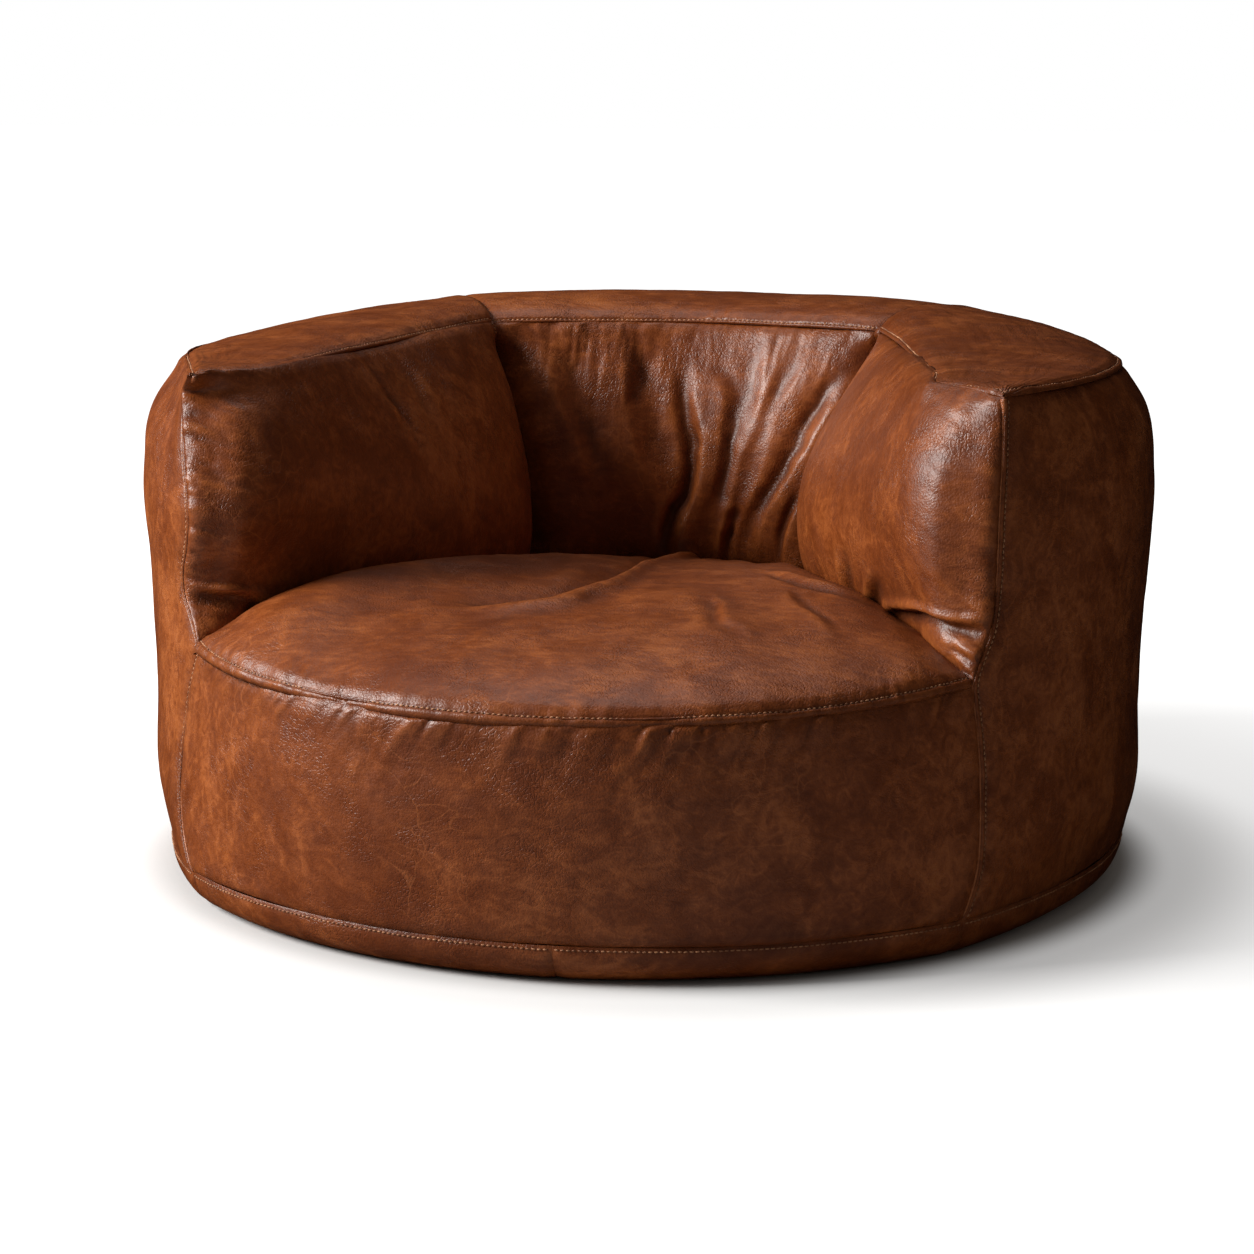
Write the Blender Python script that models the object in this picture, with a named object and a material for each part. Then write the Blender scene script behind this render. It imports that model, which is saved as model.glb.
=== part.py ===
"""Leather tub bean bag chair.

Metres, +Z up. The front faces -Y, and the origin is at the bottom centre of the chair.
Angles round the chair are measured from the front (-Y), positive towards +X.

The leather cover is a set of sewn panels, each its own shell. Inside lie two liners of
polystyrene beads: a round seat bag, and a C-shaped bolster bag that forms arms and back.
"""
import math

import bmesh
import bpy
import numpy as np
from mathutils import Vector

# ---------------------------------------------------------------- driving dimensions
LEATHER = 0.0012            # wall of every leather panel
LINER = 0.0008              # wall of the two bead liners
LINER_INSET = 0.0022        # from the chair's surface to the liner's outside
FILL_INSET = 0.0040         # from the chair's surface to the beads
GAP = 0.0003                # clearance between pieces that touch

SEAM_EDGE = 0.0003          # how far a panel stops short of a shallow seam
SHARP_EDGE = 0.0016         # and of a square one, such as round the seat
ARM_EDGE = 0.0026           # and of the pointed seam at the front of an arm

BASE_SEAM_Z = 0.040         # seam between the wall panels and the base band
BASE_SEAM_R = 0.526
FLOOR_R = 0.494             # outer edge of the ring that stands on the floor
BAND_INNER_R = 0.452        # inner edge of that ring
CLOTH_R = 0.472             # the base cloth laps over the ring
BAG_FLOOR_Z = 0.0065        # underside of the seat bag's space

SEAM_ANGLE_BASE = 48.0      # seam between front and side panels, at the base
SEAM_ANGLE_SEAT = 49.4      # the same seam where it meets the seat
SEAM_ANGLE_TOP = 54.0       # and at the top corner of the arm
SEAM_R_SEAT, SEAM_Z_SEAT = 0.507, 0.258
SEAM_R_TOP, SEAM_Z_TOP = 0.497, 0.529
SEAT_EDGE_R, SEAT_EDGE_Z = 0.537, 0.248     # seat seam at the centre of the front
DIVIDE_ANGLE = 138.0        # seam between side and back panels

WALL_Z = (0.040, 0.100, 0.180, 0.262, 0.330, 0.420, 0.488, 0.528)
WALL_R = (0.526, 0.524, 0.523, 0.524, 0.528, 0.531, 0.521, 0.494)
SHELF_ROW = 3               # the row of the wall where the bolster stands on the seat bag
WALL_ROUND_DEG = 25.0       # over this angle the wall swells out behind the arm's seam

# Half plans of the inner wall, right side: along the top seam and along the seat crease.
# Each arm starts at the seam on its front, so its own first point is left out here.
ARM_TOP = ((0.345, -0.228), (0.312, -0.130), (0.281, -0.020), (0.252, 0.085), (0.220, 0.178))
BACK_TOP = ((0.220, 0.178), (0.115, 0.212), (0.0, 0.240))
ARM_CREASE = ((0.342, -0.240), (0.270, -0.128), (0.212, -0.045), (0.172, 0.045), (0.160, 0.140))
BACK_CREASE = ((0.160, 0.140), (0.090, 0.182), (0.0, 0.200))
INNER_TOP_Z = (0.529, 0.537, 0.544)         # arm front, arm middle, back
RIDGE_Z = (0.529, 0.537, 0.555, 0.567, 0.569)   # crest of the top band, front to back
CREASE_Z = (0.258, 0.279, 0.285, 0.284, 0.282)     # seat crease, front to back
ARM_BULGE = 0.042
BACK_BULGE = 0.022
FRONT_SWELL = 0.012         # how far the front panel swells, as a part of its radius

SEAT_POLE = (0.0, -0.08, 0.312)             # highest part of the seat
ARM_STEPS = 9               # grid steps along an arm
BACK_STEPS = 4              # and along half of the back
FRONT_STEPS = 14            # across the front panel
BAND_STEPS = 4              # across the top band
SEAT_STEPS = 6              # from the seat's crown out to its seam

WELT_R = 0.0014             # rolled edge at the front of each arm
WELT_OUT = 0.0022           # its distance in front of the seam

ZIP_HALF = 0.392            # half length of the coil
ZIP_SLOT = 0.0075           # half width of the slot in the base cloth
SLIDER_AT = 0.380           # slider's place when the zip is shut
SLIDER_LENGTH = 0.012
STRIP_LENGTH, STRIP_WIDTH, STRIP_THICK = 0.090, 0.020, 0.0007

TAN = (0.245, 0.085, 0.035, 1.0)
DARK_CLOTH = (0.030, 0.028, 0.027, 1.0)
LINER_CLOTH = (0.640, 0.620, 0.570, 1.0)
BEADS = (0.860, 0.860, 0.840, 1.0)
METAL = (0.380, 0.360, 0.330, 1.0)
NYLON = (0.060, 0.055, 0.050, 1.0)


# ---------------------------------------------------------------- scene and materials
def clear_scene():
    """Empty the scene that the script starts in."""
    for old in list(bpy.data.objects):
        bpy.data.objects.remove(old, do_unlink=True)


def material(name, colour, roughness, metallic=0.0):
    """A plain Principled material of one colour."""
    made = bpy.data.materials.new(name)
    made.use_nodes = True
    shader = made.node_tree.nodes["Principled BSDF"]
    shader.inputs["Base Color"].default_value = colour
    shader.inputs["Roughness"].default_value = roughness
    shader.inputs["Metallic"].default_value = metallic
    made.diffuse_color = colour
    return made


def add_object(name, bm, look, smooth=True):
    """Turn a bmesh into a scene object, with its faces pointing out."""
    bmesh.ops.recalc_face_normals(bm, faces=bm.faces)
    mesh = bpy.data.meshes.new(name)
    bm.to_mesh(mesh)
    bm.free()
    if smooth:
        mesh.shade_smooth()
        mesh.set_sharp_from_angle(angle=math.radians(35))
    mesh.materials.append(look)
    made = bpy.data.objects.new(name, mesh)
    bpy.context.scene.collection.objects.link(made)
    return made


# ---------------------------------------------------------------- curves and grids
def spline(points, at):
    """Points at the fractions at (0 to 1) along a Catmull-Rom curve through points."""
    knots = np.array(points, float)
    ends = (2 * knots[0] - knots[1], 2 * knots[-1] - knots[-2])
    padded = np.vstack([ends[0], knots, ends[1]])
    place = np.clip(np.asarray(at, float), 0, 1) * (len(knots) - 1)
    first = np.minimum(place.astype(int), len(knots) - 2)
    t = (place - first)[:, None]
    a, b, c, d = (padded[first + k] for k in range(4))
    return 0.5 * (2 * b + (c - a) * t + (2 * a - 5 * b + 4 * c - d) * t**2 + (3 * b - a - 3 * c + d) * t**3)


def on_circle(radius, degrees, z):
    """Points at a radius, an angle from the front and a height."""
    radius, degrees, z = np.broadcast_arrays(*(np.asarray(v, float) for v in (radius, degrees, z)))
    angle = np.radians(degrees)
    return np.stack([radius * np.sin(angle), -radius * np.cos(angle), z], axis=-1)


def spread(values, at):
    """Evenly spaced values read at the fractions at."""
    return np.interp(at, np.linspace(0, 1, len(values)), values)


def mirrored(half):
    """Add the left half to columns that run from the right arm's front to the back's middle."""
    left = half * np.array([-1.0, 1.0, 1.0])
    return np.concatenate([left, half[:-1][::-1]], axis=0)


def step_in(grid, near=None, far=None, low=None, high=None):
    """Move a grid's edges in by the given distances: near and far columns, low and high rows."""
    moved = grid.copy()
    for distance, edge, inner in ((near, 0, 1), (far, -1, -2)):
        if distance:
            way = moved[inner] - moved[edge]
            moved[edge] += distance * way / np.maximum(np.linalg.norm(way, axis=-1, keepdims=True), 1e-9)
    for distance, edge, inner in ((low, 0, 1), (high, -1, -2)):
        if distance:
            way = moved[:, inner] - moved[:, edge]
            moved[:, edge] += distance * way / np.maximum(np.linalg.norm(way, axis=-1, keepdims=True), 1e-9)
    return moved


def grid_mesh(grid):
    """A bmesh sheet from an array of columns by rows of points."""
    bm = bmesh.new()
    columns, rows = grid.shape[:2]
    verts = [[bm.verts.new(grid[i, j]) for j in range(rows)] for i in range(columns)]
    for i in range(columns - 1):
        for j in range(rows - 1):
            bm.faces.new((verts[i][j], verts[i + 1][j], verts[i + 1][j + 1], verts[i][j + 1]))
    bmesh.ops.remove_doubles(bm, verts=bm.verts, dist=1e-5)
    bmesh.ops.dissolve_degenerate(bm, edges=bm.edges, dist=1e-6)
    return bm


def turn_towards(bm, inside):
    """Point a sheet's faces away from a point that is inside the chair."""
    bm.normal_update()
    bm.faces.ensure_lookup_table()
    face = bm.faces[len(bm.faces) // 2]
    if (face.calc_center_median() - Vector(inside)).dot(face.normal) < 0:
        bmesh.ops.reverse_faces(bm, faces=bm.faces)
    bm.normal_update()


def wall_from_sheet(bm, thickness):
    """Give a sheet a wall on its inner side, closed all round."""
    bmesh.ops.triangulate(bm, faces=bm.faces)
    bm.normal_update()
    outer = {v: v.co.copy() for v in bm.verts}
    inner = {v: v.co - v.normal * thickness * min(v.calc_shell_factor(), 1.6) for v in bm.verts}
    rim = [e for e in bm.edges if e.is_boundary]
    twin = {v: bm.verts.new(inner[v]) for v in outer}
    for face in [f for f in bm.faces]:
        bm.faces.new([twin[v] for v in reversed(face.verts)])
    for edge in rim:
        a, b = edge.verts
        bm.faces.new((a, b, twin[b], twin[a]))


def leather_panel(name, grid, inside, look):
    """One cover panel: a sheet with the leather's thickness laid inwards."""
    bm = grid_mesh(grid)
    turn_towards(bm, inside)
    wall_from_sheet(bm, LEATHER)
    return add_object(name, bm, look)


# ---------------------------------------------------------------- the chair's surface
def stations():
    """Fractions along the arm, then along half of the back, and the wall's angle at each."""
    arm = np.linspace(0, 1, ARM_STEPS + 1)
    back = np.linspace(0, 1, BACK_STEPS + 1)
    angle_arm = SEAM_ANGLE_SEAT + (DIVIDE_ANGLE - SEAM_ANGLE_SEAT) * arm
    angle_back = DIVIDE_ANGLE + (180.0 - DIVIDE_ANGLE) * back
    along = np.concatenate([arm * 0.7, 0.7 + 0.3 * back[1:]])
    return arm, back, np.concatenate([angle_arm, angle_back[1:]]), along


def front_seam():
    """The seam at the front of the side wall, row by row: angle, radius and height."""
    z = np.array(WALL_Z)
    z[SHELF_ROW] = SEAM_Z_SEAT
    z[-1] = SEAM_Z_TOP
    knots = (BASE_SEAM_Z, SEAM_Z_SEAT, SEAM_Z_TOP)
    angle = np.interp(z, knots, (SEAM_ANGLE_BASE, SEAM_ANGLE_SEAT, SEAM_ANGLE_TOP))
    radius = np.interp(z, knots, (BASE_SEAM_R, SEAM_R_SEAT, SEAM_R_TOP))
    return angle, radius, z


def wall_grid():
    """The outer wall of arms and back, columns from left arm round to right arm."""
    _, _, angles, _ = stations()
    seam_angle, seam_r, seam_z = front_seam()
    opened = np.sin(np.radians(90) * np.clip((angles - SEAM_ANGLE_SEAT) / WALL_ROUND_DEG, 0, 1))[:, None]
    shift = (1 - np.clip((angles - SEAM_ANGLE_SEAT) / (DIVIDE_ANGLE - SEAM_ANGLE_SEAT), 0, 1))[:, None]
    angle = angles[:, None] + (seam_angle - SEAM_ANGLE_SEAT)[None] * shift
    radius = seam_r[None] + (np.array(WALL_R) - seam_r)[None] * opened
    z = seam_z[None] + (np.array(WALL_Z) - seam_z)[None] * opened
    return mirrored(on_circle(radius, angle, z))


def arm_front():
    """The seam at the front of the right arm, from its top corner down to the seat."""
    angle, radius, z = front_seam()
    return on_circle(radius, angle, z)[SHELF_ROW:][::-1]


def inner_edges():
    """The top seam and the seat crease of the inner wall, right half, front to back."""
    arm, back, _, along = stations()
    corner = arm_front()[:, :2]
    top = np.vstack([spline((corner[0], *ARM_TOP), arm), spline(BACK_TOP, back)[1:]])
    crease = np.vstack([spline((corner[-1], *ARM_CREASE), arm), spline(BACK_CREASE, back)[1:]])
    top = np.column_stack([top, spread(INNER_TOP_Z, along)])
    crease = np.column_stack([crease, spread(CREASE_Z, along)])
    return top, crease


def inner_grid():
    """The inner wall from its top seam down to the seat crease, swelling over the seat."""
    arm, back, _, _ = stations()
    top, crease = inner_edges()
    seam = arm_front()
    down = (seam[0, 2] - seam[:, 2]) / (seam[0, 2] - seam[-1, 2])
    grid = top[:, None] + (crease - top)[:, None] * down[None, :, None]
    middle = (top + crease)[:, :2] / 2
    along = np.gradient(middle, axis=0)
    along /= np.linalg.norm(along, axis=1, keepdims=True)
    towards_seat = np.column_stack([-along[:, 1], along[:, 0]])
    towards_seat[-1] = (0.0, -1.0)
    depth = np.concatenate([ARM_BULGE * np.sin(math.pi * arm) ** 0.6, BACK_BULGE * np.sin(math.pi * back[1:] / 2)])
    swell = depth[:, None] * np.sin(math.pi * down)[None]
    grid[:, :, :2] += towards_seat[:, None] * swell[..., None]
    grid[0] = seam
    return mirrored(grid)


def band_grid():
    """The top band from the outer top seam over its crest to the inner top seam."""
    _, _, _, along = stations()
    count = len(along)
    outer = wall_grid()[:, -1]
    inner = inner_grid()[:, 0]
    across = np.linspace(0, 1, BAND_STEPS + 1)
    crest = mirrored(np.column_stack([np.zeros(count), np.zeros(count), spread(RIDGE_Z, along)]))[:, 2]
    rise = crest - (outer[:, 2] + inner[:, 2]) / 2
    grid = outer[:, None] + (inner - outer)[:, None] * across[None, :, None]
    grid[:, :, 2] += rise[:, None] * np.sin(math.pi * across)[None] ** 0.8
    return grid


def seat_seam(degrees):
    """The seam round the front of the seat at an angle from the front."""
    side = np.abs(np.asarray(degrees, float)) / SEAM_ANGLE_SEAT
    return on_circle(
        SEAT_EDGE_R + (SEAM_R_SEAT - SEAT_EDGE_R) * side**2, degrees, SEAT_EDGE_Z + (SEAM_Z_SEAT - SEAT_EDGE_Z) * side**2
    )


def front_grid():
    """The front panel, from the left arm's seam to the right arm's, base seam to seat seam."""
    across = np.linspace(-1, 1, FRONT_STEPS + 1)
    angle, radius, z = (values[: SHELF_ROW + 1] for values in front_seam())
    up = (z - z[0]) / (z[-1] - z[0])
    top = seat_seam(across * SEAM_ANGLE_SEAT)
    bottom = on_circle(BASE_SEAM_R, across * SEAM_ANGLE_BASE, BASE_SEAM_Z)
    grid = bottom[:, None] + (top - bottom)[:, None] * up[None, :, None]
    swell = 1 + FRONT_SWELL * np.sin(math.pi * up)[None] * np.cos(math.pi / 2 * across)[:, None]
    grid[:, :, :2] *= swell[..., None]
    grid[0], grid[-1] = on_circle(radius, -angle, z), on_circle(radius, angle, z)
    return grid


def seat_outline():
    """The seat's closed outline: the front seam, then the crease from right arm round to left."""
    front = seat_seam(np.linspace(-SEAM_ANGLE_SEAT, SEAM_ANGLE_SEAT, FRONT_STEPS + 1))
    _, crease = inner_edges()
    return np.concatenate([front[:-1], mirrored(crease)[::-1][:-1]])


def seat_rows(outline):
    """Rings from just off the crown out to the outline, over the seat's soft dome."""
    out = np.linspace(0, 1, SEAT_STEPS + 1)[1:, None, None]
    pole = np.array(SEAT_POLE)
    rows = pole + (outline[None] - pole) * out
    rows[:, :, 2] = (outline[:, 2] + (pole[2] - outline[:, 2]) * (1 - out[..., 0] ** 3.2))
    return rows


def ringed_mesh(rings, top_pole, low_pole=None):
    """A bmesh from closed rings of points, with a pole at the first and perhaps at the last."""
    bm = bmesh.new()
    verts = [[bm.verts.new(p) for p in ring] for ring in rings]
    count = len(rings[0])
    for upper, lower in zip(verts[:-1], verts[1:]):
        for k in range(count):
            n = (k + 1) % count
            bm.faces.new((upper[k], upper[n], lower[n], lower[k]))
    for pole, ring in ((top_pole, verts[0]), (low_pole, verts[-1])):
        if pole is not None:
            tip = bm.verts.new(pole)
            for k in range(count):
                bm.faces.new((tip, ring[k], ring[(k + 1) % count]))
    bmesh.ops.remove_doubles(bm, verts=bm.verts, dist=1e-5)
    bmesh.ops.dissolve_degenerate(bm, edges=bm.edges, dist=1e-6)
    return bm


# ---------------------------------------------------------------- leather cover
def cover_panels(leather):
    """The wall, arm, back and top panels, each cut from the chair's surface at its seams."""
    wall, inner, band = wall_grid(), inner_grid(), band_grid()
    last = len(wall) - 1
    seams = (0, ARM_STEPS, last - ARM_STEPS, last)
    for side, (start, end) in zip(("left", "back", "right"), zip(seams[:-1], seams[1:])):
        near = ARM_EDGE if start == 0 else SEAM_EDGE
        far = ARM_EDGE if end == last else SEAM_EDGE
        columns = slice(start, end + 1)
        outer_name = f"outer_panel_{side}"
        leather_panel(outer_name, step_in(wall[columns], near, far, SEAM_EDGE, SHARP_EDGE), (0, 0, 0.2), leather)
        inner_name = "inner_back_panel" if side == "back" else f"inner_arm_panel_{side}"
        hidden = bolster_heart(side)
        leather_panel(inner_name, step_in(inner[columns], near, far, SHARP_EDGE, SEAM_EDGE), hidden, leather)
        top = band[columns]
        # The band comes to a point at the arm's front corner, so it stops a little short of it.
        if start == 0:
            top = np.concatenate([top[:1] * 0.94 + top[1:2] * 0.06, top[1:]])
        if end == last:
            top = np.concatenate([top[:-1], top[-1:] * 0.94 + top[-2:-1] * 0.06])
        near, far = (None if start == 0 else SEAM_EDGE), (None if end == last else SEAM_EDGE)
        leather_panel(f"top_band_{side}", step_in(top, near, far, SHARP_EDGE, SHARP_EDGE), (0, 0, 0.2), leather)


def bolster_heart(side):
    """A point in the middle of the bolster's thickness, beside the seat or behind it."""
    return {"left": (-0.40, 0.0, 0.42), "right": (0.40, 0.0, 0.42), "back": (0.0, 0.40, 0.42)}[side]


def seat_panel(leather):
    """The seat's top: a soft dome with its edge sewn to the front panel and the inner walls."""
    outline = seat_outline()
    middle = np.array(SEAT_POLE)
    way = (middle - outline) * np.array([1.0, 1.0, 0.0])
    way /= np.linalg.norm(way, axis=1, keepdims=True)
    count = len(outline)
    in_front = (np.arange(count) <= FRONT_STEPS)[:, None]
    outline = outline + way * np.where(in_front, ARM_EDGE, SEAM_EDGE)
    bm = ringed_mesh(seat_rows(outline), SEAT_POLE)
    turn_towards(bm, (0, 0, 0.1))
    wall_from_sheet(bm, LEATHER)
    add_object("seat_top_panel", bm, leather)


def base_bands(leather):
    """Four lengths of leather that turn under the wall and stand on the floor."""
    profile = (
        (BASE_SEAM_R, BASE_SEAM_Z - SEAM_EDGE), (0.524, 0.024), (0.515, 0.009),
        (FLOOR_R + 0.006, 0.0012), (FLOOR_R, 0.0), (BAND_INNER_R, 0.0),
    )
    middle = len(wall_grid()) // 2
    foot = wall_grid()[middle:, 0]
    rear = np.degrees(np.arctan2(foot[:, 0], -foot[:, 1]))
    front = np.linspace(0.0, SEAM_ANGLE_BASE, FRONT_STEPS // 2 + 1)
    for name, angles in (("front", front), ("rear", rear)):
        for side, sign in (("right", 1), ("left", -1)):
            grid = np.stack([on_circle(r, angles * sign, z) for r, z in profile], axis=1)
            leather_panel(f"base_band_{name}_{side}", step_in(grid, SEAM_EDGE, SEAM_EDGE), (0, 0, 0.1), leather)


def arm_welts(leather):
    """The thin rolled edge that runs up the seam at the front of each arm."""
    angle, radius, z = front_seam()
    rows = slice(SHELF_ROW, None)
    for side, sign in (("left", -1), ("right", 1)):
        path = on_circle(radius[rows] + WELT_OUT, angle[rows] * sign, z[rows])
        path[0, 2] += 0.006
        path[-1, 2] -= 0.006
        path += np.array([0.0, -WELT_OUT, 0.0])
        tube(f"arm_welt_{side}", path, WELT_R, leather)


def tube(name, path, radius, look, sides=6):
    """A plain round tube along a path that runs mostly upwards."""
    turns = np.radians(np.arange(sides) * 360 / sides)
    ring = np.column_stack([np.cos(turns), np.sin(turns), np.zeros(sides)]) * radius
    rings = [point + ring for point in path]
    bm = ringed_mesh(rings, path[0], path[-1])
    add_object(name, bm, look)


# ---------------------------------------------------------------- bead bags
def seat_bag():
    """The closed outside of the space under the seat, all round the chair."""
    outline = seat_outline()
    wall = wall_grid()[::-1]
    front = front_grid()
    rings = list(seat_rows(outline))
    for row in range(SHELF_ROW, -1, -1):
        rings.append(np.concatenate([front[:-1, row], wall[:-1, row]]))
    foot = rings[-1]
    for radius, z in ((0.513, 0.016), (0.480, BAG_FLOOR_Z), (0.240, BAG_FLOOR_Z)):
        scaled = foot * (radius / np.linalg.norm(foot[:, :2], axis=1))[:, None]
        scaled[:, 2] = z
        rings.append(scaled)
    return ringed_mesh(rings, SEAT_POLE, (0.0, 0.0, BAG_FLOOR_Z))


def bolster_bag():
    """The closed outside of the C-shaped space in the arms and the back."""
    wall, band, inner = wall_grid()[:, SHELF_ROW:], band_grid(), inner_grid()
    half_way = (inner[:, -1] + wall[:, 0]) / 2
    loop = np.concatenate([wall, band[:, 1:], inner[:, 1:], half_way[:, None]], axis=1)
    bm = bmesh.new()
    verts = [[bm.verts.new(p) for p in column] for column in loop]
    rows = loop.shape[1]
    for near, far in zip(verts[:-1], verts[1:]):
        for j in range(rows):
            n = (j + 1) % rows
            bm.faces.new((near[j], far[j], far[n], near[n]))
    bmesh.ops.remove_doubles(bm, verts=bm.verts, dist=1e-5)
    bmesh.ops.dissolve_degenerate(bm, edges=bm.edges, dist=1e-6)
    return bm


def inset_body(bm, distance):
    """Move every face of a closed body in by the same distance."""
    bmesh.ops.recalc_face_normals(bm, faces=bm.faces)
    bmesh.ops.triangulate(bm, faces=bm.faces)
    bm.normal_update()
    moved = {v: v.co - v.normal * distance * min(v.calc_shell_factor(), 2.2) for v in bm.verts}
    for vert, place in moved.items():
        vert.co = place
    return bm


def shelf_middle():
    """The middle of the level where the bolster stands on the seat bag, behind the seat."""
    middle = len(wall_grid()) // 2
    return (inner_grid()[middle, -1] + wall_grid()[middle, SHELF_ROW]) / 2


def bead_fill(name, bag, look):
    """The beads as one soft body that fills its liner."""
    add_object(name, inset_body(bag(), FILL_INSET), look)


def bead_liner(name, bag, mouth, look):
    """A thin bag with a filling mouth: an outer and an inner skin joined round the mouth."""
    bm = inset_body(bag(), LINER_INSET)
    inner = inset_body(bag(), LINER_INSET + LINER)
    skin = list(bm.verts)
    depths = [v.co.copy() for v in inner.verts]
    inner.free()
    centre = min(skin, key=lambda v: (v.co - Vector(mouth)).length)
    hole = set(centre.link_faces)
    kept = [f for f in bm.faces if f not in hole]
    rim = [e.verts[:] for e in bm.edges if len(hole.intersection(e.link_faces)) == 1]
    twin = {v: bm.verts.new(depth) for v, depth in zip(skin, depths)}
    for face in kept:
        bm.faces.new([twin[v] for v in reversed(face.verts)])
    for a, b in rim:
        bm.faces.new((a, b, twin[b], twin[a]))
    bmesh.ops.delete(bm, geom=[centre, twin[centre]], context="VERTS")
    add_object(name, bm, look)


# ---------------------------------------------------------------- flat pieces
def block(name, low, high, look):
    """A square-edged block between two corners."""
    bm = bmesh.new()
    bmesh.ops.create_cube(bm, size=1.0)
    low, high = Vector(low), Vector(high)
    for vert in bm.verts:
        vert.co = Vector([low[k] + (vert.co[k] + 0.5) * (high[k] - low[k]) for k in range(3)])
    return add_object(name, bm, look, smooth=False)


def plate(name, outline, low, high, look):
    """A flat plate of an outline, from one height to another."""
    bm = bmesh.new()
    face = bm.faces.new([bm.verts.new((x, y, low)) for x, y in outline])
    raised = bmesh.ops.extrude_face_region(bm, geom=[face])["geom"]
    bmesh.ops.translate(bm, verts=[g for g in raised if isinstance(g, bmesh.types.BMVert)], vec=(0, 0, high - low))
    return add_object(name, bm, look, smooth=False)


def base_cloth(look):
    """Two half discs of non-slip cloth, with the slot for the zip between them."""
    arc = on_circle(CLOTH_R, np.linspace(-90, 90, 29), 0)[1:-1, :2]
    closed_x, closed_y = CLOTH_R, GAP / 2
    slot_x = ZIP_HALF + 0.012
    for name, sign in (("base_cloth_front", 1), ("base_cloth_rear", -1)):
        outline = [(x, y * sign) for x, y in arc]
        outline += [(closed_x, -closed_y * sign), (slot_x, -closed_y * sign), (slot_x, -ZIP_SLOT * sign)]
        outline += [(-slot_x, -ZIP_SLOT * sign), (-slot_x, -closed_y * sign), (-closed_x, -closed_y * sign)]
        plate(name, outline, 0.0016, 0.0024, look)


def zip_fastener(cloth, nylon, metal):
    """The zip across the base: two tapes, two coils, two end stops and the slider."""
    for name, sign in (("front", -1), ("rear", 1)):
        edges = sorted((sign * 0.0036, sign * 0.018))
        block(f"zip_tape_{name}", (-ZIP_HALF - 0.010, edges[0], 0.0028), (ZIP_HALF + 0.010, edges[1], 0.0036), cloth)
        edges = sorted((sign * 0.0008, sign * 0.0032))
        block(f"zip_coil_{name}", (-ZIP_HALF, edges[0], 0.0024), (ZIP_HALF, edges[1], 0.0040), nylon)
    for name, sign in (("zip_top_stop", 1), ("zip_bottom_stop", -1)):
        ends = sorted((sign * (ZIP_HALF + 0.0005), sign * (ZIP_HALF + 0.0035)))
        block(name, (ends[0], -0.0032, 0.0022), (ends[1], 0.0032, 0.0042), metal)
    zip_slider(metal)


def zip_slider(metal):
    """Two plates joined by the wedge that parts the coils, without a pull tab."""
    half = SLIDER_LENGTH / 2
    bm = bmesh.new()
    outline = ((-0.0004, 0.0020), (-0.0055, 0.0020), (-0.0055, 0.0008), (0.0055, 0.0008), (0.0055, 0.0020))
    outline += ((0.0004, 0.0020), (0.0004, 0.0044), (0.0050, 0.0044), (0.0050, 0.0056), (-0.0050, 0.0056))
    outline += ((-0.0050, 0.0044), (-0.0004, 0.0044))
    face = bm.faces.new([bm.verts.new((-half, y, z)) for y, z in outline])
    raised = bmesh.ops.extrude_face_region(bm, geom=[face])["geom"]
    bmesh.ops.translate(bm, verts=[g for g in raised if isinstance(g, bmesh.types.BMVert)], vec=(SLIDER_LENGTH, 0, 0))
    slider = add_object("zip_slider", bm, metal, smooth=False)
    slider.location = (SLIDER_AT, 0, 0)


def closure_strips(name, centre, low, look):
    """Hook and loop strips, one on the other, that shut a liner's mouth."""
    half = Vector((STRIP_LENGTH / 2, STRIP_WIDTH / 2, 0))
    for layer, part in enumerate(("loop", "hook")):
        z = low + layer * (STRIP_THICK + GAP)
        corner = Vector((centre[0], centre[1], z))
        block(f"{name}_{part}_strip", corner - half, corner + half + Vector((0, 0, STRIP_THICK)), look)


# ---------------------------------------------------------------- assembly
def main():
    """Build every piece of the chair."""
    clear_scene()
    leather = material("leather", TAN, 0.48)
    cloth = material("base_cloth", DARK_CLOTH, 0.90)
    liner = material("liner_cloth", LINER_CLOTH, 0.85)
    beads = material("beads", BEADS, 0.70)
    metal = material("zip_metal", METAL, 0.35, 1.0)
    nylon = material("zip_nylon", NYLON, 0.60)

    cover_panels(leather)
    leather_panel(
        "front_panel", step_in(front_grid(), SEAM_EDGE, SEAM_EDGE, SEAM_EDGE, SHARP_EDGE), (0, 0, 0.15), leather
    )
    seat_panel(leather)
    base_bands(leather)
    arm_welts(leather)

    bead_fill("seat_bead_fill", seat_bag, beads)
    bead_fill("bolster_bead_fill", bolster_bag, beads)
    shelf = shelf_middle()
    bead_liner("seat_liner", seat_bag, (0.0, 0.24, BAG_FLOOR_Z), liner)
    bead_liner("bolster_liner", bolster_bag, shelf, liner)

    base_cloth(cloth)
    zip_fastener(cloth, nylon, metal)
    closure_strips("seat_liner", (0.0, 0.24), BAG_FLOOR_Z - 0.0002, nylon)
    closure_strips("bolster_liner", shelf[:2], shelf[2] - STRIP_THICK - GAP / 2, nylon)


main()
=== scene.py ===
# %% [markdown]
# # A leather tub bean bag, panel by panel
# This chair is a sewn leather cover over two bags of polystyrene beads: a round seat bag, and a
# C-shaped bolster bag that forms the arms and the back. The solids that the frame brings settle
# every size and place. This script makes the looks: soft leather panels with their laps, welts,
# stitches, puckers and folds, and the leather itself.

# %% Load the frame
import math

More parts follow.
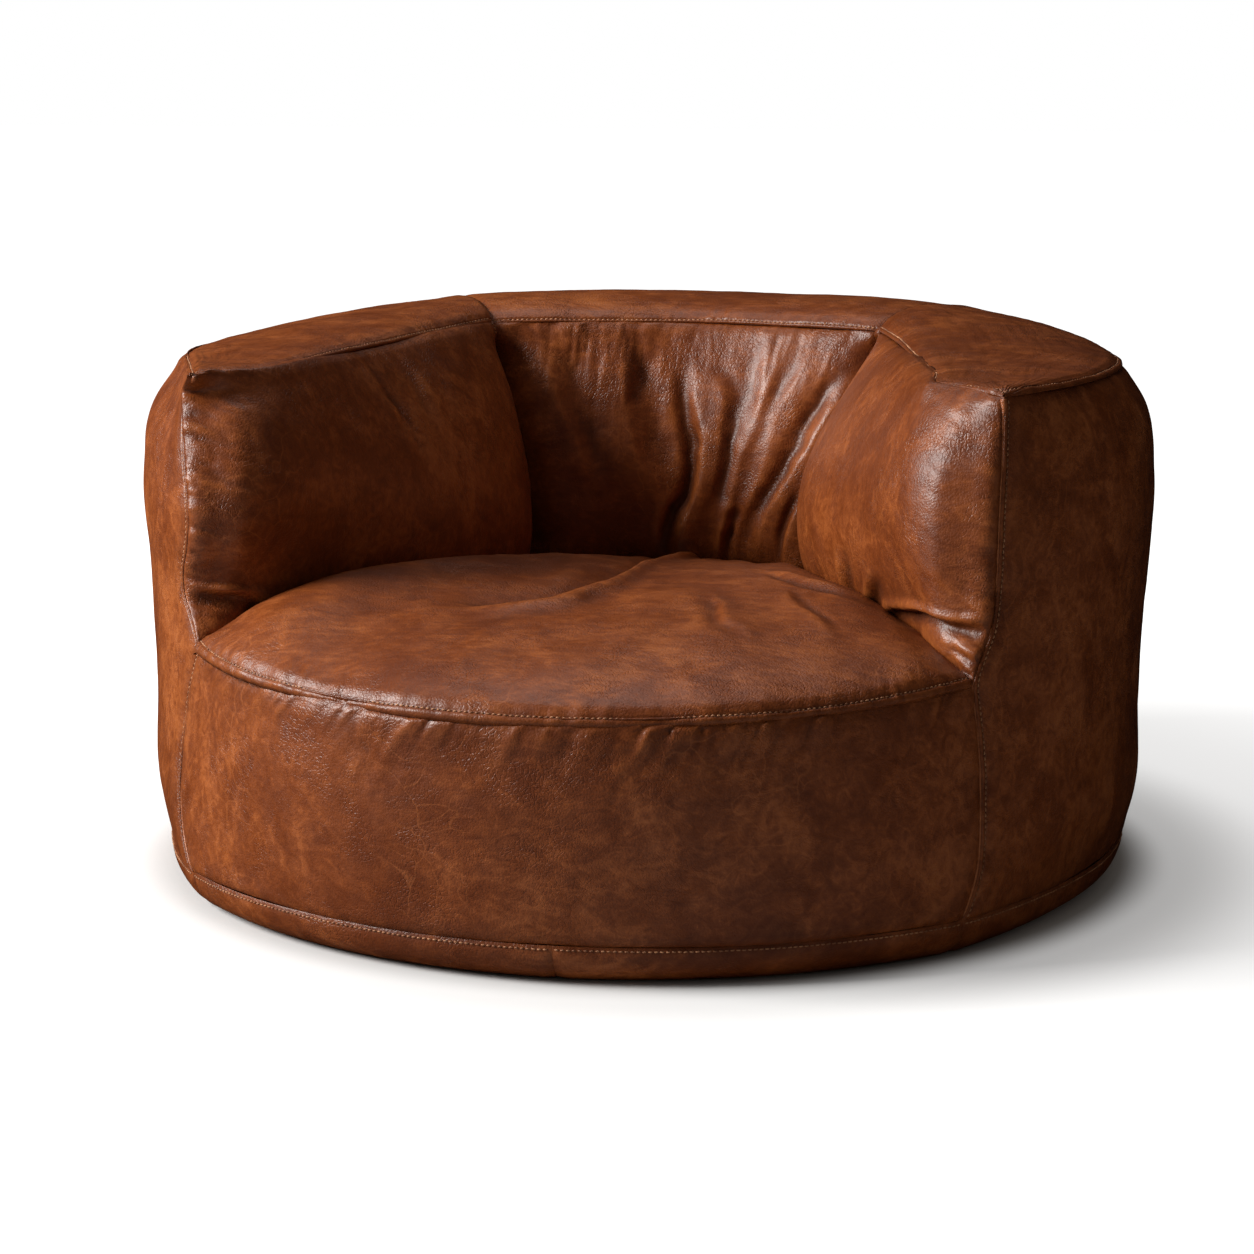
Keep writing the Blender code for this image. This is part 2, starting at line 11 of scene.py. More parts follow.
import bpy
import numpy as np
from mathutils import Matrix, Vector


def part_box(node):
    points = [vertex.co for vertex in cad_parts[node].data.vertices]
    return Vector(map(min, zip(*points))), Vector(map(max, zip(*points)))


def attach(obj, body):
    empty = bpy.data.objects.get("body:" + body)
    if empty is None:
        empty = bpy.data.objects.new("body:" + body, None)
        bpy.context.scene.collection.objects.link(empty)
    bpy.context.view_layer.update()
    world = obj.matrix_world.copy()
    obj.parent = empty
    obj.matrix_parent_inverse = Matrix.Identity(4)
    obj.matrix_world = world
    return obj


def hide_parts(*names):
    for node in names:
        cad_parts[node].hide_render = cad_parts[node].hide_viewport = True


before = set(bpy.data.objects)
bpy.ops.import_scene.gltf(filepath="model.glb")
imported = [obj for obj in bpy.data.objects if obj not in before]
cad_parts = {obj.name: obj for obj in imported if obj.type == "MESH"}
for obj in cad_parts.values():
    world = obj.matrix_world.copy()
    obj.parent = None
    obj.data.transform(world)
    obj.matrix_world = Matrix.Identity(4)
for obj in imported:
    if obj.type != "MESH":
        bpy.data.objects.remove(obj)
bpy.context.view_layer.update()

# %% [markdown]
# ## Material tools
# Every finish here is a tree of nodes. These helpers add one node with its inputs already set or
# linked, so that a finish can be written, and read, as a short list of steps.

# %% Node tools
def node(tree, kind, inputs=(), **settings):
    """Add a node; inputs maps its socket names or numbers to values or to other nodes' outputs."""
    made = tree.nodes.new("ShaderNode" + kind)
    for key, value in settings.items():
        setattr(made, key, value)
    for key, value in dict(inputs).items():
        if isinstance(value, bpy.types.NodeSocket):
            tree.links.new(value, made.inputs[key])
        else:
            made.inputs[key].default_value = value
    return made


def maths(tree, work, first, second=0.5, third=0.5, clamp=False):
    """One Math node, and its output."""
    return node(tree, "Math", {0: first, 1: second, 2: third}, operation=work, use_clamp=clamp).outputs[0]


def blend(tree, amount, first, second, how="MIX"):
    """One colour Mix node, and its output."""
    made = node(tree, "Mix", {"Factor": amount, 6: first, 7: second}, data_type="RGBA", blend_type=how)
    return made.outputs[2]


def ramp(tree, value, low, high, to_low=0.0, to_high=1.0):
    """A smooth step from to_low to to_high as the value goes from low to high."""
    inputs = {"Value": value, "From Min": low, "From Max": high, "To Min": to_low, "To Max": to_high}
    return node(tree, "MapRange", inputs, interpolation_type="SMOOTHSTEP").outputs[0]


def noise_of(tree, place, scale, detail=3.0, rough=0.5, warp=0.0, kind="FBM"):
    """One Noise Texture, and its height output."""
    inputs = {"Vector": place, "Scale": scale, "Detail": detail, "Roughness": rough, "Distortion": warp}
    return node(tree, "TexNoise", inputs, noise_type=kind, normalize=True).outputs[0]


def new_group(name, inputs, outputs):
    """An empty shader group with named sockets: returns its tree, its inputs and its outputs."""
    tree = bpy.data.node_groups.new(name, "ShaderNodeTree")
    for label, kind, value in inputs:
        socket = tree.interface.new_socket(label, in_out="INPUT", socket_type="NodeSocket" + kind)
        if value is not None:
            socket.default_value = value
    for label, kind in outputs:
        tree.interface.new_socket(label, in_out="OUTPUT", socket_type="NodeSocket" + kind)
    return tree, tree.nodes.new("NodeGroupInput").outputs, tree.nodes.new("NodeGroupOutput").inputs


def use_group(tree, group, inputs):
    """Put a group into a tree with its inputs set, and return its outputs."""
    made = tree.nodes.new("ShaderNodeGroup")
    made.node_tree = group
    for key, value in inputs.items():
        if isinstance(value, bpy.types.NodeSocket):
            tree.links.new(value, made.inputs[key])
        else:
            made.inputs[key].default_value = value
    return made.outputs


def warped(tree, place, scale, amount):
    """A place moved by an amount of three-way noise, so that patterns read there are bent."""
    push = node(tree, "TexNoise", {"Vector": place, "Scale": scale, "Detail": 3.0}).outputs[1]
    bent = node(tree, "VectorMath", {0: push, 3: amount}, operation="SCALE").outputs[0]
    return node(tree, "VectorMath", {0: place, 1: bent}, operation="ADD").outputs[0]


def turned_by(tree, place, turn, scale):
    """A place turned and stretched by a Mapping node, to draw a pattern out one way."""
    return node(tree, "Mapping", {"Vector": place, "Rotation": turn, "Scale": scale}).outputs[0]


def cells_of(tree, place, scale):
    """Distance to the nearest edge of a pattern of random cells."""
    return node(tree, "TexVoronoi", {"Vector": place, "Scale": scale}, feature="DISTANCE_TO_EDGE").outputs[0]


def bump_of(tree, height, strength, distance, under=None):
    """One Bump node, laid over another one's normal where there is one, and its output."""
    inputs = {"Strength": strength, "Distance": distance, "Height": height}
    if under is not None:
        inputs["Normal"] = under
    return node(tree, "Bump", inputs).outputs[0]


def new_paint(name, rough=0.5):
    """A new material: returns it, its tree, its shader, and the Object coordinates for its patterns."""
    made = bpy.data.materials.new(name)
    made.use_nodes = True
    tree = made.node_tree
    shader = tree.nodes["Principled BSDF"]
    shader.inputs["Roughness"].default_value = rough
    return made, tree, shader, node(tree, "TexCoord").outputs["Object"]


print("material tools ready")

# %% [markdown]
# ## Camera, floor and light
# The chair stands on a pale floor. The camera looks slightly down on it from a little to the
# right of the front. One large soft window light stands to the left. A weak lamp above and a dim
# warm sky keep the shaded side readable, so the leather's satin sheen shows on every bulge.

# %% Camera
SENSOR_MM, LENS_MM = 36.0, 86.13
CAMERA_PLACE = (0.685, -3.087, 0.844)
CAMERA_TURN, CAMERA_DOWN = 12.907, 10.847  # degrees to the left of +Y, and below level

camera = bpy.data.objects.new("camera", bpy.data.cameras.new("camera"))
camera.data.sensor_width = SENSOR_MM
camera.data.lens = LENS_MM
camera.data.clip_end = 50.0
camera.location = CAMERA_PLACE
camera.rotation_euler = (math.radians(90 - CAMERA_DOWN), 0.0, math.radians(CAMERA_TURN))
bpy.context.scene.collection.objects.link(camera)
bpy.context.scene.camera = camera
print("camera at", CAMERA_PLACE)

# %% Floor, lamps and sky
FLOOR_HALF, FLOOR_GREY = 30.0, 0.60
GLOW_REACH = 2.0
GLOW_STOPS = ((0.252, 0.0), (0.282, 0.34), (0.36, 0.64), (0.75, 1.0))
SKY_LIGHT = (0.145, 0.132, 0.118)
WHITE = (1, 1, 1, 1)
AIM = (0.0, 0.0, 0.3)


def add_stage():
    """A wide flat pale floor. To the camera it glows up to plain white away from the chair, by its
    distance from the chair's middle, so that no horizon shows. The glow lights nothing."""
    mesh = bpy.data.meshes.new("floor")
    corners = np.array([(-1, -1, 0), (1, -1, 0), (1, 1, 0), (-1, 1, 0)]) * FLOOR_HALF
    mesh.from_pydata(corners.tolist(), [], [(0, 1, 2, 3)])
    floor = bpy.data.objects.new("floor", mesh)
    bpy.context.scene.collection.objects.link(floor)
    paint, tree, shader, place = new_paint("floor_paint", 0.9)
    shader.inputs["Base Color"].default_value = (FLOOR_GREY, FLOOR_GREY, FLOOR_GREY, 1)
    far = node(tree, "VectorMath", {0: place}, operation="LENGTH").outputs["Value"]
    glow = node(tree, "ValToRGB", {0: maths(tree, "DIVIDE", far, GLOW_REACH)})
    glow.color_ramp.interpolation = "EASE"
    for k, (stop_place, level) in enumerate(GLOW_STOPS):
        stop = glow.color_ramp.elements[k] if k < 2 else glow.color_ramp.elements.new(stop_place)
        stop.position = stop_place
        stop.color = (level, level, level, 1)
    seen = node(tree, "LightPath").outputs["Is Camera Ray"]
    shader.inputs["Emission Color"].default_value = WHITE
    tree.links.new(maths(tree, "MULTIPLY", seen, glow.outputs[0]), shader.inputs["Emission Strength"])
    mesh.materials.append(paint)
    floor.visible_glossy = False


def add_lamp(name, place, size, power, colour=(1.0, 1.0, 1.0)):
    """A square lamp at a place, turned to face the chair's middle."""
    data = bpy.data.lights.new(name, "AREA")
    data.shape = "RECTANGLE"
    data.size, data.size_y = size, size
    data.energy = power
    data.color = colour
    lamp = bpy.data.objects.new(name, data)
    away = np.array(AIM) - np.array(place)
    down = math.atan2(math.hypot(away[0], away[1]), -away[2])
    lamp.location = place
    lamp.rotation_euler = (down, 0.0, math.atan2(away[1], away[0]) - math.pi / 2)
    bpy.context.scene.collection.objects.link(lamp)


def add_sky():
    """A dim warm sky for light, which the camera sees as plain white and no shine shows."""
    world = bpy.data.worlds.new("pale_room")
    bpy.context.scene.world = world
    world.use_nodes = True
    world.cycles_visibility.glossy = False
    tree = world.node_tree
    seen = node(tree, "LightPath").outputs["Is Camera Ray"]
    tone = blend(tree, seen, (*SKY_LIGHT, 1), WHITE)
    tree.links.new(tone, tree.nodes["Background"].inputs["Color"])


add_stage()
add_lamp("window", (-3.1, -1.4, 2.1), 1.6, 262.0, (1.0, 0.985, 0.96))
add_lamp("ceiling", (-0.4, 0.6, 3.2), 2.0, 23.0)
add_sky()
bpy.context.scene.view_settings.view_transform = "Standard"

# %% [markdown]
# ## Curves and noise
# Leather lies in smooth curves with a little disorder. Everything below is built from a few small
# tools: a curve that eases through a few measured points, an S-shaped step, and smooth random
# heights.

# %% Small tools
def eased(x, knots, values):
    """A cubic through the knots: each knot's slope is the mean slope around it."""
    knots, values = np.asarray(knots, float), np.asarray(values, float)
    slope = np.gradient(values, knots)
    x = np.clip(np.asarray(x, float), knots[0], knots[-1])
    k = np.clip(np.searchsorted(knots, x, side="right") - 1, 0, len(knots) - 2)
    width = knots[k + 1] - knots[k]
    t = (x - knots[k]) / width
    return (
        (2 * t**3 - 3 * t**2 + 1) * values[k] + (t**3 - 2 * t**2 + t) * width * slope[k]
        + (3 * t**2 - 2 * t**3) * values[k + 1] + (t**3 - t**2) * width * slope[k + 1]
    )


def plan_curve(points, at):
    """Points of any size at the fractions at of the length of a smooth curve through points."""
    points = np.asarray(points, float)
    reach = np.concatenate([[0], np.cumsum(np.linalg.norm(np.diff(points, axis=0), axis=1))])
    reach /= reach[-1]
    return np.stack([eased(at, reach, points[:, k]) for k in range(points.shape[1])], axis=-1)


def smooth(x, low, high):
    """0 below low, 1 above high, and a smooth S between them."""
    t = np.clip((np.asarray(x, float) - low) / (high - low), 0, 1)
    return t * t * (3 - 2 * t)


LATTICE = 128
LATTICE_START = (41.3, 27.9)


def noise(x, y, size, seed):
    """Smooth random heights from -1 to 1: random values on a square lattice, eased between."""
    table = np.random.default_rng(seed).uniform(-1, 1, (LATTICE, LATTICE))
    gx, gy = np.asarray(x) / size + LATTICE_START[0], np.asarray(y) / size + LATTICE_START[1]
    gx, gy = np.broadcast_arrays(gx, gy)
    ix, iy = np.floor(gx).astype(int), np.floor(gy).astype(int)
    fx, fy = smooth(gx - ix, 0, 1), smooth(gy - iy, 0, 1)
    near_x, near_y = ix % LATTICE, iy % LATTICE
    next_x, next_y = (ix + 1) % LATTICE, (iy + 1) % LATTICE
    a, b = table[near_x, near_y], table[next_x, near_y]
    c, d = table[near_x, next_y], table[next_x, next_y]
    return (a * (1 - fx) + b * fx) * (1 - fy) + (c * (1 - fx) + d * fx) * fy


def on_circle(radius, degrees, z):
    """Points at a radius, an angle from the front (-Y, positive towards +X) and a height."""
    radius, degrees, z = np.broadcast_arrays(*(np.asarray(v, float) for v in (radius, degrees, z)))
    angle = np.radians(degrees)
    return np.stack([radius * np.sin(angle), -radius * np.cos(angle), z], axis=-1)


def unit(vectors):
    """Vectors brought to length one."""
    return vectors / np.maximum(np.linalg.norm(vectors, axis=-1, keepdims=True), 1e-12)


FINE_MM = (0, 0.4, 0.8, 1.2, 1.7, 2.3, 3.1, 4.1, 5.2, 6.3, 7.2, 7.9, 8.5, 9.1, 9.9, 11.0, 12.6)


def edge_samples(length, step):
    """Distances along a panel, from 0 to length: even steps, with finer ones at both ends."""
    fine = np.array(FINE_MM) / 1000
    middle = length - 2 * fine[-1]
    inner = fine[-1] + middle * np.linspace(0, 1, max(3, int(middle / step)) + 1)[1:-1]
    return np.concatenate([fine, inner, (length - fine)[::-1]])


print("noise sample", round(float(noise(0.1, 0.2, 0.05, 3)), 3))

# %% [markdown]
# ## The chair's shape
# Four runs of seam carry the whole shape: the seam up the front of each arm, the outer and inner
# seams of the top band, and the crease where the inner walls meet the seat. Each is a few
# measured points with an eased curve through them. The panels are stretched between the seams,
# and swell between them like a cushion.

# %% Seams
SEAM_Z = (
    0.040, 0.080, 0.140, 0.200, 0.240, 0.261, 0.285, 0.310, 0.330, 0.360, 0.395, 0.440, 0.490, 0.512, 0.529,
)
SEAM_ANGLE = {
    1: (47.0, 48.9, 49.7, 49.9, 49.7, 49.6, 50.7, 52.1, 52.5, 52.8, 53.0, 53.4, 54.0, 54.2, 54.5),
    -1: (47.0, 50.3, 51.9, 51.5, 50.2, 49.2, 51.2, 53.4, 53.6, 51.9, 51.2, 52.8, 55.6, 56.6, 53.8),
}
SEAM_R_Z = (0.040, 0.120, 0.200, 0.258, 0.330, 0.420, 0.529)
SEAM_R = (0.526, 0.522, 0.514, 0.507, 0.509, 0.507, 0.497)
SEAT_CORNER_Z = 0.260
SEAT_CORNER = 5  # the place in SEAM_Z where the seat's seam meets the arm's
WALL_Z = (0.040, 0.100, 0.180, 0.262, 0.330, 0.420, 0.488, 0.528)
WALL_R = (0.5090, 0.5225, 0.524, 0.525, 0.528, 0.531, 0.521, 0.494)
OPEN_ANGLE = 26.0  # over this much turn, a wall swells out from the arm's seam to its full radius
DIVIDE = 138.0  # the angle of the two back seams
WALL_LOW, WALL_HIGH = WALL_Z[0], WALL_Z[-1]

ARM_TOP = ((0.345, -0.228), (0.312, -0.130), (0.281, -0.020), (0.252, 0.085), (0.220, 0.178))
BACK_TOP = ((-0.220, 0.178), (-0.115, 0.214), (0.0, 0.238), (0.115, 0.214), (0.220, 0.178))
ARM_CREASE = ((0.342, -0.240), (0.270, -0.128), (0.212, -0.045), (0.172, 0.045), (0.160, 0.140))
BACK_CREASE = ((-0.160, 0.140), (-0.090, 0.182), (0.0, 0.200), (0.090, 0.182), (0.160, 0.140))
ARM_SWELL, BACK_SWELL = {1: 0.054, -1: 0.046}, 0.028
ARM_FORWARD = 0.016
FORWARD = np.array([0.0, -1.0, 0.0])


def arm_seam(side, z):
    """The seam up the front of an arm, side 1 for right and -1 for left, at heights z."""
    return on_circle(eased(z, SEAM_R_Z, SEAM_R), side * eased(z, SEAM_Z, SEAM_ANGLE[side]), z)


def wall_surface(side, along, up):
    """The outer side wall: along 0 at the arm's seam to 1 at the back seam, up 0 to 1."""
    z = WALL_LOW + (WALL_HIGH - WALL_LOW) * up
    start = eased(z, SEAM_Z, SEAM_ANGLE[side])
    angle = start + (DIVIDE - start) * along
    seam_r = eased(z, SEAM_R_Z, SEAM_R)
    opened = np.sin(math.pi / 2 * np.clip((angle - start) / OPEN_ANGLE, 0, 1))
    shoulder = 0.013 * np.exp(-(((angle - start - 12) / 12) ** 2)) * smooth(z, 0.44, 0.529) * (side < 0)
    return on_circle(seam_r + (eased(z, WALL_Z, WALL_R) - seam_r) * opened - shoulder, side * angle, z)


def back_wall_surface(along, up):
    """The outer back wall, along 0 at the left back seam to 1 at the right one."""
    z = WALL_LOW + (WALL_HIGH - WALL_LOW) * up
    angle = -DIVIDE - (360.0 - 2 * DIVIDE) * along
    return on_circle(eased(z, WALL_Z, WALL_R) + 0 * angle, angle, z)


NOTCH_PLACE, NOTCH_REACH, NOTCH_DEPTH = 0.205, 0.085, 0.016


def notch(side, along):
    """A tooth in the right arm's top seam, where the band's front end is let in: a sharp peak."""
    peak = np.clip(1 - np.abs(along - NOTCH_PLACE) / NOTCH_REACH, 0, 1) ** 1.3
    return (side > 0) * NOTCH_DEPTH * peak[..., None] * np.array([-0.62, -0.78, 0.0])


def arm_edges(side, along):
    """The inner wall's top seam and seat crease along one arm, front to back."""
    flip = np.array([side, 1.0])
    top_start, low_start = arm_seam(side, np.array([WALL_HIGH, SEAT_CORNER_Z]))[:, :2]
    top = plan_curve(np.vstack([top_start, np.array(ARM_TOP) * flip]), along)
    low = plan_curve(np.vstack([low_start, np.array(ARM_CREASE) * flip]), along)
    top_z = eased(along, (0, 0.5, 1), (WALL_HIGH, 0.537, 0.544))
    low_z = eased(along, (0, 0.25, 0.6, 1), (SEAT_CORNER_Z, 0.276, 0.285, 0.284))
    return np.concatenate([top, top_z[..., None]], -1), np.concatenate([low, low_z[..., None]], -1)


def back_edges(along):
    """The inner wall's top seam and seat crease across the back, left to right."""
    top = plan_curve(BACK_TOP, along)
    low = plan_curve(BACK_CREASE, along)
    low_z = 0.284 - 0.003 * np.sin(math.pi * along)
    top_z = np.full_like(low_z, 0.544)
    return np.concatenate([top, top_z[..., None]], -1), np.concatenate([low, low_z[..., None]], -1)


def towards_seat(top, low, turn):
    """Level unit vectors from the wall towards the seat, square to the wall's middle line."""
    way = unit(np.gradient((top + low)[:, 0, :2] / 2, axis=0))
    return np.stack([-way[:, 1] * turn, way[:, 0] * turn, 0 * way[:, 0]], -1)[:, None]


def arm_surface(side, along, down):
    """The inner face of an arm: straight from seam to crease, then swollen over the seat. Its front
    end is fitted to the arm's seam, and bulges a little forwards behind it."""
    top, low = arm_edges(side, along)
    seam = arm_seam(side, WALL_HIGH + (SEAT_CORNER_Z - WALL_HIGH) * down)
    front_top, front_low = arm_edges(side, np.zeros((1, 1)))
    straight = front_top + (front_low - front_top) * down[..., None]
    fit = (seam - straight) * np.clip(1 - along / 0.4, 0, 1)[..., None] ** 2
    round_in = np.clip(1 - np.abs(2 * along - 1) ** 3.2, 0, 1) ** 0.43
    swell = ARM_SWELL[side] * round_in * np.sin(math.pi * down) ** 0.72
    forward = ARM_FORWARD * np.exp(-(((along - 0.13) / 0.13) ** 2)) * smooth(along, 0, 0.10)
    forward = forward * np.sin(math.pi * down) ** 0.6
    fit = fit + notch(side, along) * np.exp(-down / 0.05)[..., None] + forward[..., None] * FORWARD
    return top + (low - top) * down[..., None] + fit + towards_seat(top, low, side) * swell[..., None]


def back_surface(along, down):
    """The inner face of the back, from its top seam down to the seat crease."""
    top, low = back_edges(along)
    swell = BACK_SWELL * np.clip(1 - np.abs(2 * along - 1) ** 3, 0, 1) ** 0.7 * np.sin(math.pi * down) ** 0.8
    return top + (low - top) * down[..., None] + FORWARD * swell[..., None]


CREST_ANGLE = (50, 62, 75, 90, 105, 120, 150, 180)
CREST_Z = (0.529, 0.533, 0.537, 0.544, 0.552, 0.560, 0.568, 0.569)


def band_surface(outer, inner, angle, across):
    """The top band, arched between its outer and inner seams up to the crest's height."""
    rise = eased(np.abs(angle), CREST_ANGLE, CREST_Z) - (outer[..., 2] + inner[..., 2]) / 2
    arch = np.clip(1 - np.abs(2 * across - 1) ** 2.3, 0, 1) ** 0.72
    points = outer + (inner - outer) * across[..., None]
    points[..., 2] += rise * arch
    return points


def arm_band_surface(side, along, across):
    """The top band of one arm, along 0 at the front corner to 1 at the back seam."""
    start = SEAM_ANGLE[side][-1]
    outer = wall_surface(side, along, np.ones_like(along))
    inner = arm_edges(side, along)[0] + notch(side, along)
    return band_surface(outer, inner, start + (DIVIDE - start) * along, across)


def back_band_surface(along, across):
    """The top band across the back, left to right."""
    outer = back_wall_surface(along, np.ones_like(along))
    inner, _ = back_edges(along)
    return band_surface(outer, inner, DIVIDE + (180 - DIVIDE) * np.sin(math.pi * along), across)


SEAT_FRONT_R, SEAT_FRONT_Z = 0.538, 0.248
FRONT_FOOT_R, FRONT_SWELL = 0.526, 0.009
SEAT_DOME = 0.046


def seat_edge(across):
    """The seam round the front of the seat, across 0 at the left corner to 1 at the right."""
    side = 2 * across - 1
    corner = {s: arm_seam(s, np.array([SEAT_CORNER_Z]))[0] for s in (1, -1)}
    end = np.where(side > 0, SEAM_ANGLE[1][SEAT_CORNER], SEAM_ANGLE[-1][SEAT_CORNER])
    middle = on_circle(SEAT_FRONT_R, side * end, SEAT_FRONT_Z)
    ends = on_circle(np.hypot(corner[1][0], corner[1][1]), side * end, SEAT_CORNER_Z)
    return middle + (ends - middle) * (side**2)[..., None]


def front_surface(across, up):
    """The front panel, left arm seam to right, base seam up to the seat seam."""
    side = 2 * across - 1
    z = WALL_LOW + (SEAT_CORNER_Z - WALL_LOW) * up
    end = np.where(side > 0, eased(z, SEAM_Z, SEAM_ANGLE[1]), eased(z, SEAM_Z, SEAM_ANGLE[-1]))
    top = seat_edge(across)
    radius_top = np.hypot(top[..., 0], top[..., 1])
    radius = FRONT_FOOT_R + (radius_top - FRONT_FOOT_R) * up ** 1.3
    radius = radius + FRONT_SWELL * np.sin(math.pi * up) * np.cos(math.pi / 2 * side)
    seam_r = eased(z, SEAM_R_Z, SEAM_R)
    radius = seam_r + (radius - seam_r) * (1 - side**6)
    return on_circle(radius, side * end, WALL_LOW + (top[..., 2] - WALL_LOW) * up)


def seat_surface(across, back):
    """The seat: a patch between front seam, two arm creases and back crease, swollen upwards."""
    front = seat_edge(across)
    _, rear = back_edges(across)
    _, left = arm_edges(-1, back)
    _, right = arm_edges(1, back)
    u, v = across[..., None], back[..., None]
    flat = (1 - v) * front + v * rear + (1 - u) * left + u * right
    front_corners = (1 - u) * (1 - v) * front[:1, :1] + u * (1 - v) * front[-1:, :1]
    flat = flat - (front_corners + (1 - u) * v * rear[:1, :1] + u * v * rear[-1:, :1])
    sides = np.clip(1 - np.abs(2 * across - 1) ** 5, 0, 1) ** 0.55
    front_roll = np.clip(1 - (1 - np.minimum(back * 2, 1)) ** 4, 0, 1) ** 0.5
    rear_roll = 1 - np.clip((back - 0.35) / 0.65, 0, 1) ** 2.2
    flat[..., 2] += SEAT_DOME * sides * front_roll * rear_roll
    return flat


print("seat corners:", np.round(np.stack([arm_seam(s, SEAT_CORNER_Z) for s in (-1, 1)]), 3).tolist())

# %% [markdown]
# ## From a surface to a piece of leather
# A panel is cut from hide about 1.4 mm thick. Where two panels meet, one is folded over and laps
# the other, and a row of stitches runs beside the fold, so the top panel is pinched at the
# stitches and swells behind them, while the one beneath dives under the fold. Bead filling pushes
# the leather out between the seams, and the slack gathers into puckers square to the seams.

# %% Panel builder
HIDE = 0.0014


def grid_lengths(points):
    """Distances of every grid point from the grid's four edges, along its rows and columns."""
    du = np.linalg.norm(np.diff(points, axis=0), axis=-1)
    dv = np.linalg.norm(np.diff(points, axis=1), axis=-1)
    from_start = np.concatenate([np.zeros((1, points.shape[1])), np.cumsum(du, axis=0)])
    from_low = np.concatenate([np.zeros((points.shape[0], 1)), np.cumsum(dv, axis=1)], axis=1)
    return {
        "start": from_start, "end": from_start[-1:] - from_start,
        "low": from_low, "high": from_low[:, -1:] - from_low,
    }


def grid_normals(points, outwards=1.0):
    """Unit normals of a grid: the cross product of its two directions."""
    return outwards * unit(np.cross(np.gradient(points, axis=0), np.gradient(points, axis=1)))


def blurred(height, times):
    """A height map with each point averaged with its neighbours a number of times."""
    for _ in range(times):
        wide = np.pad(height, 1, mode="edge")
        beside = wide[:-2, 1:-1] + wide[2:, 1:-1] + wide[1:-1, :-2] + wide[1:-1, 2:]
        height = (4 * height + beside) / 8
    return height


def puckers(run, depth, seed, size=0.014, reach=0.035, height=0.0022, slant=0.0):
    """Gathers square to a seam: billowed noise stretched away from it, fading with depth."""
    x = run + slant * depth
    coarse = np.abs(noise(x, depth * 0.22, size, seed))
    fine = np.abs(noise(x, depth * 0.3, size * 0.45, seed + 1))
    cluster = 0.45 + 0.55 * smooth(noise(x, depth * 0.1, size * 7, seed + 2), -0.5, 0.6)
    fade = np.exp(-((depth / reach) ** 1.3)) * smooth(depth, 0.0, 0.006)
    return height * cluster * fade * (coarse + 0.4 * fine - 0.45)


def fold(x, y, points, width, height, hollow=0.6, side=1, size=(1.0, 1.0)):
    """A long soft fold along a curve of fractions of the panel's size: a ridge whose height falls
    with the distance from the curve, steeply on one side, and a hollow along that side. Both fade
    at the curve's ends, and noise bends the curve and changes the height along it."""
    line = plan_curve(np.array(points, float) * np.array(size), np.linspace(0, 1, 40))
    bend = 0.006 * noise(x, y, 0.045, 3) + 0.0022 * noise(x, y, 0.016, 5)
    x, y = x + bend, y + 0.005 * noise(x, y, 0.040, 4)
    signed, place, best = np.full(x.shape, 9.0), np.zeros(x.shape), np.full(x.shape, 9.0)
    for k in range(len(line) - 1):
        step = line[k + 1] - line[k]
        t = np.clip(((x - line[k, 0]) * step[0] + (y - line[k, 1]) * step[1]) / (step @ step), 0, 1)
        dx, dy = x - line[k, 0] - t * step[0], y - line[k, 1] - t * step[1]
        far = np.hypot(dx, dy)
        near = far < best
        best = np.where(near, far, best)
        signed = np.where(near, np.sign(step[0] * dy - step[1] * dx) * far, signed)
        place = np.where(near, (k + t) / (len(line) - 1), place)
    taper = smooth(place, -0.02, 0.34) * smooth(1 - place, -0.06, 0.22)
    taper = taper * (0.80 + 0.35 * noise(9 * place, 0 * place, 1.6, int(1000 * width) + len(points)))
    ridge = np.exp(-((np.abs(signed) / (width * np.where(signed * side > 0, 0.8, 2.0))) ** 1.6))
    trough = np.exp(-(((signed - side * 1.6 * width) / (0.85 * width)) ** 2))
    return height * taper * (ridge - hollow * trough)


FOLD_RADIUS = 0.0013


def lap_over(depth, width):
    """Height of a top panel near its folded edge: a rounded fold, a raised strip, a pinch at the
    stitches, and a swell past them."""
    round_part = np.sqrt(np.clip(FOLD_RADIUS**2 - (FOLD_RADIUS - depth) ** 2, 0, None))
    fold_round = np.where(depth < FOLD_RADIUS, FOLD_RADIUS - round_part, 0)
    level = 0.0004 + 0.16 * width
    strip = level + 0.0004 * np.sin(math.pi * np.clip(depth / width, 0, 1))
    beyond = np.clip(depth - width, 0, None)
    pinch = -0.0015 * np.exp(-(((depth - width) / 0.0011) ** 2))
    swell = 0.0022 * smooth(beyond, 0, 0.014) * np.exp(-beyond / 0.05)
    return np.where(depth <= width, strip, level * np.exp(-beyond / 0.02)) + pinch + swell - fold_round


def dive_under(depth, width):
    """Height of a lower panel near the fold that laps it: a dip at the fold and a swell past it."""
    swell = 0.0020 * smooth(depth, 0.001, 0.014) * np.exp(-depth / 0.04)
    return -0.0011 * np.exp(-((depth / 0.0022) ** 2)) + swell


def butted(depth, width):
    """Height beside a plain turned seam, where two panels meet edge to edge in a narrow valley."""
    return -width * np.exp(-depth / 0.0026) + 0.0010 * smooth(depth, 0.0, 0.012) * np.exp(-depth / 0.04)


def creased(depth, width):
    """Height beside a deep crease: the panel only swells a little before it goes in."""
    return width * smooth(depth, 0.0, 0.012) * np.exp(-depth / 0.03)


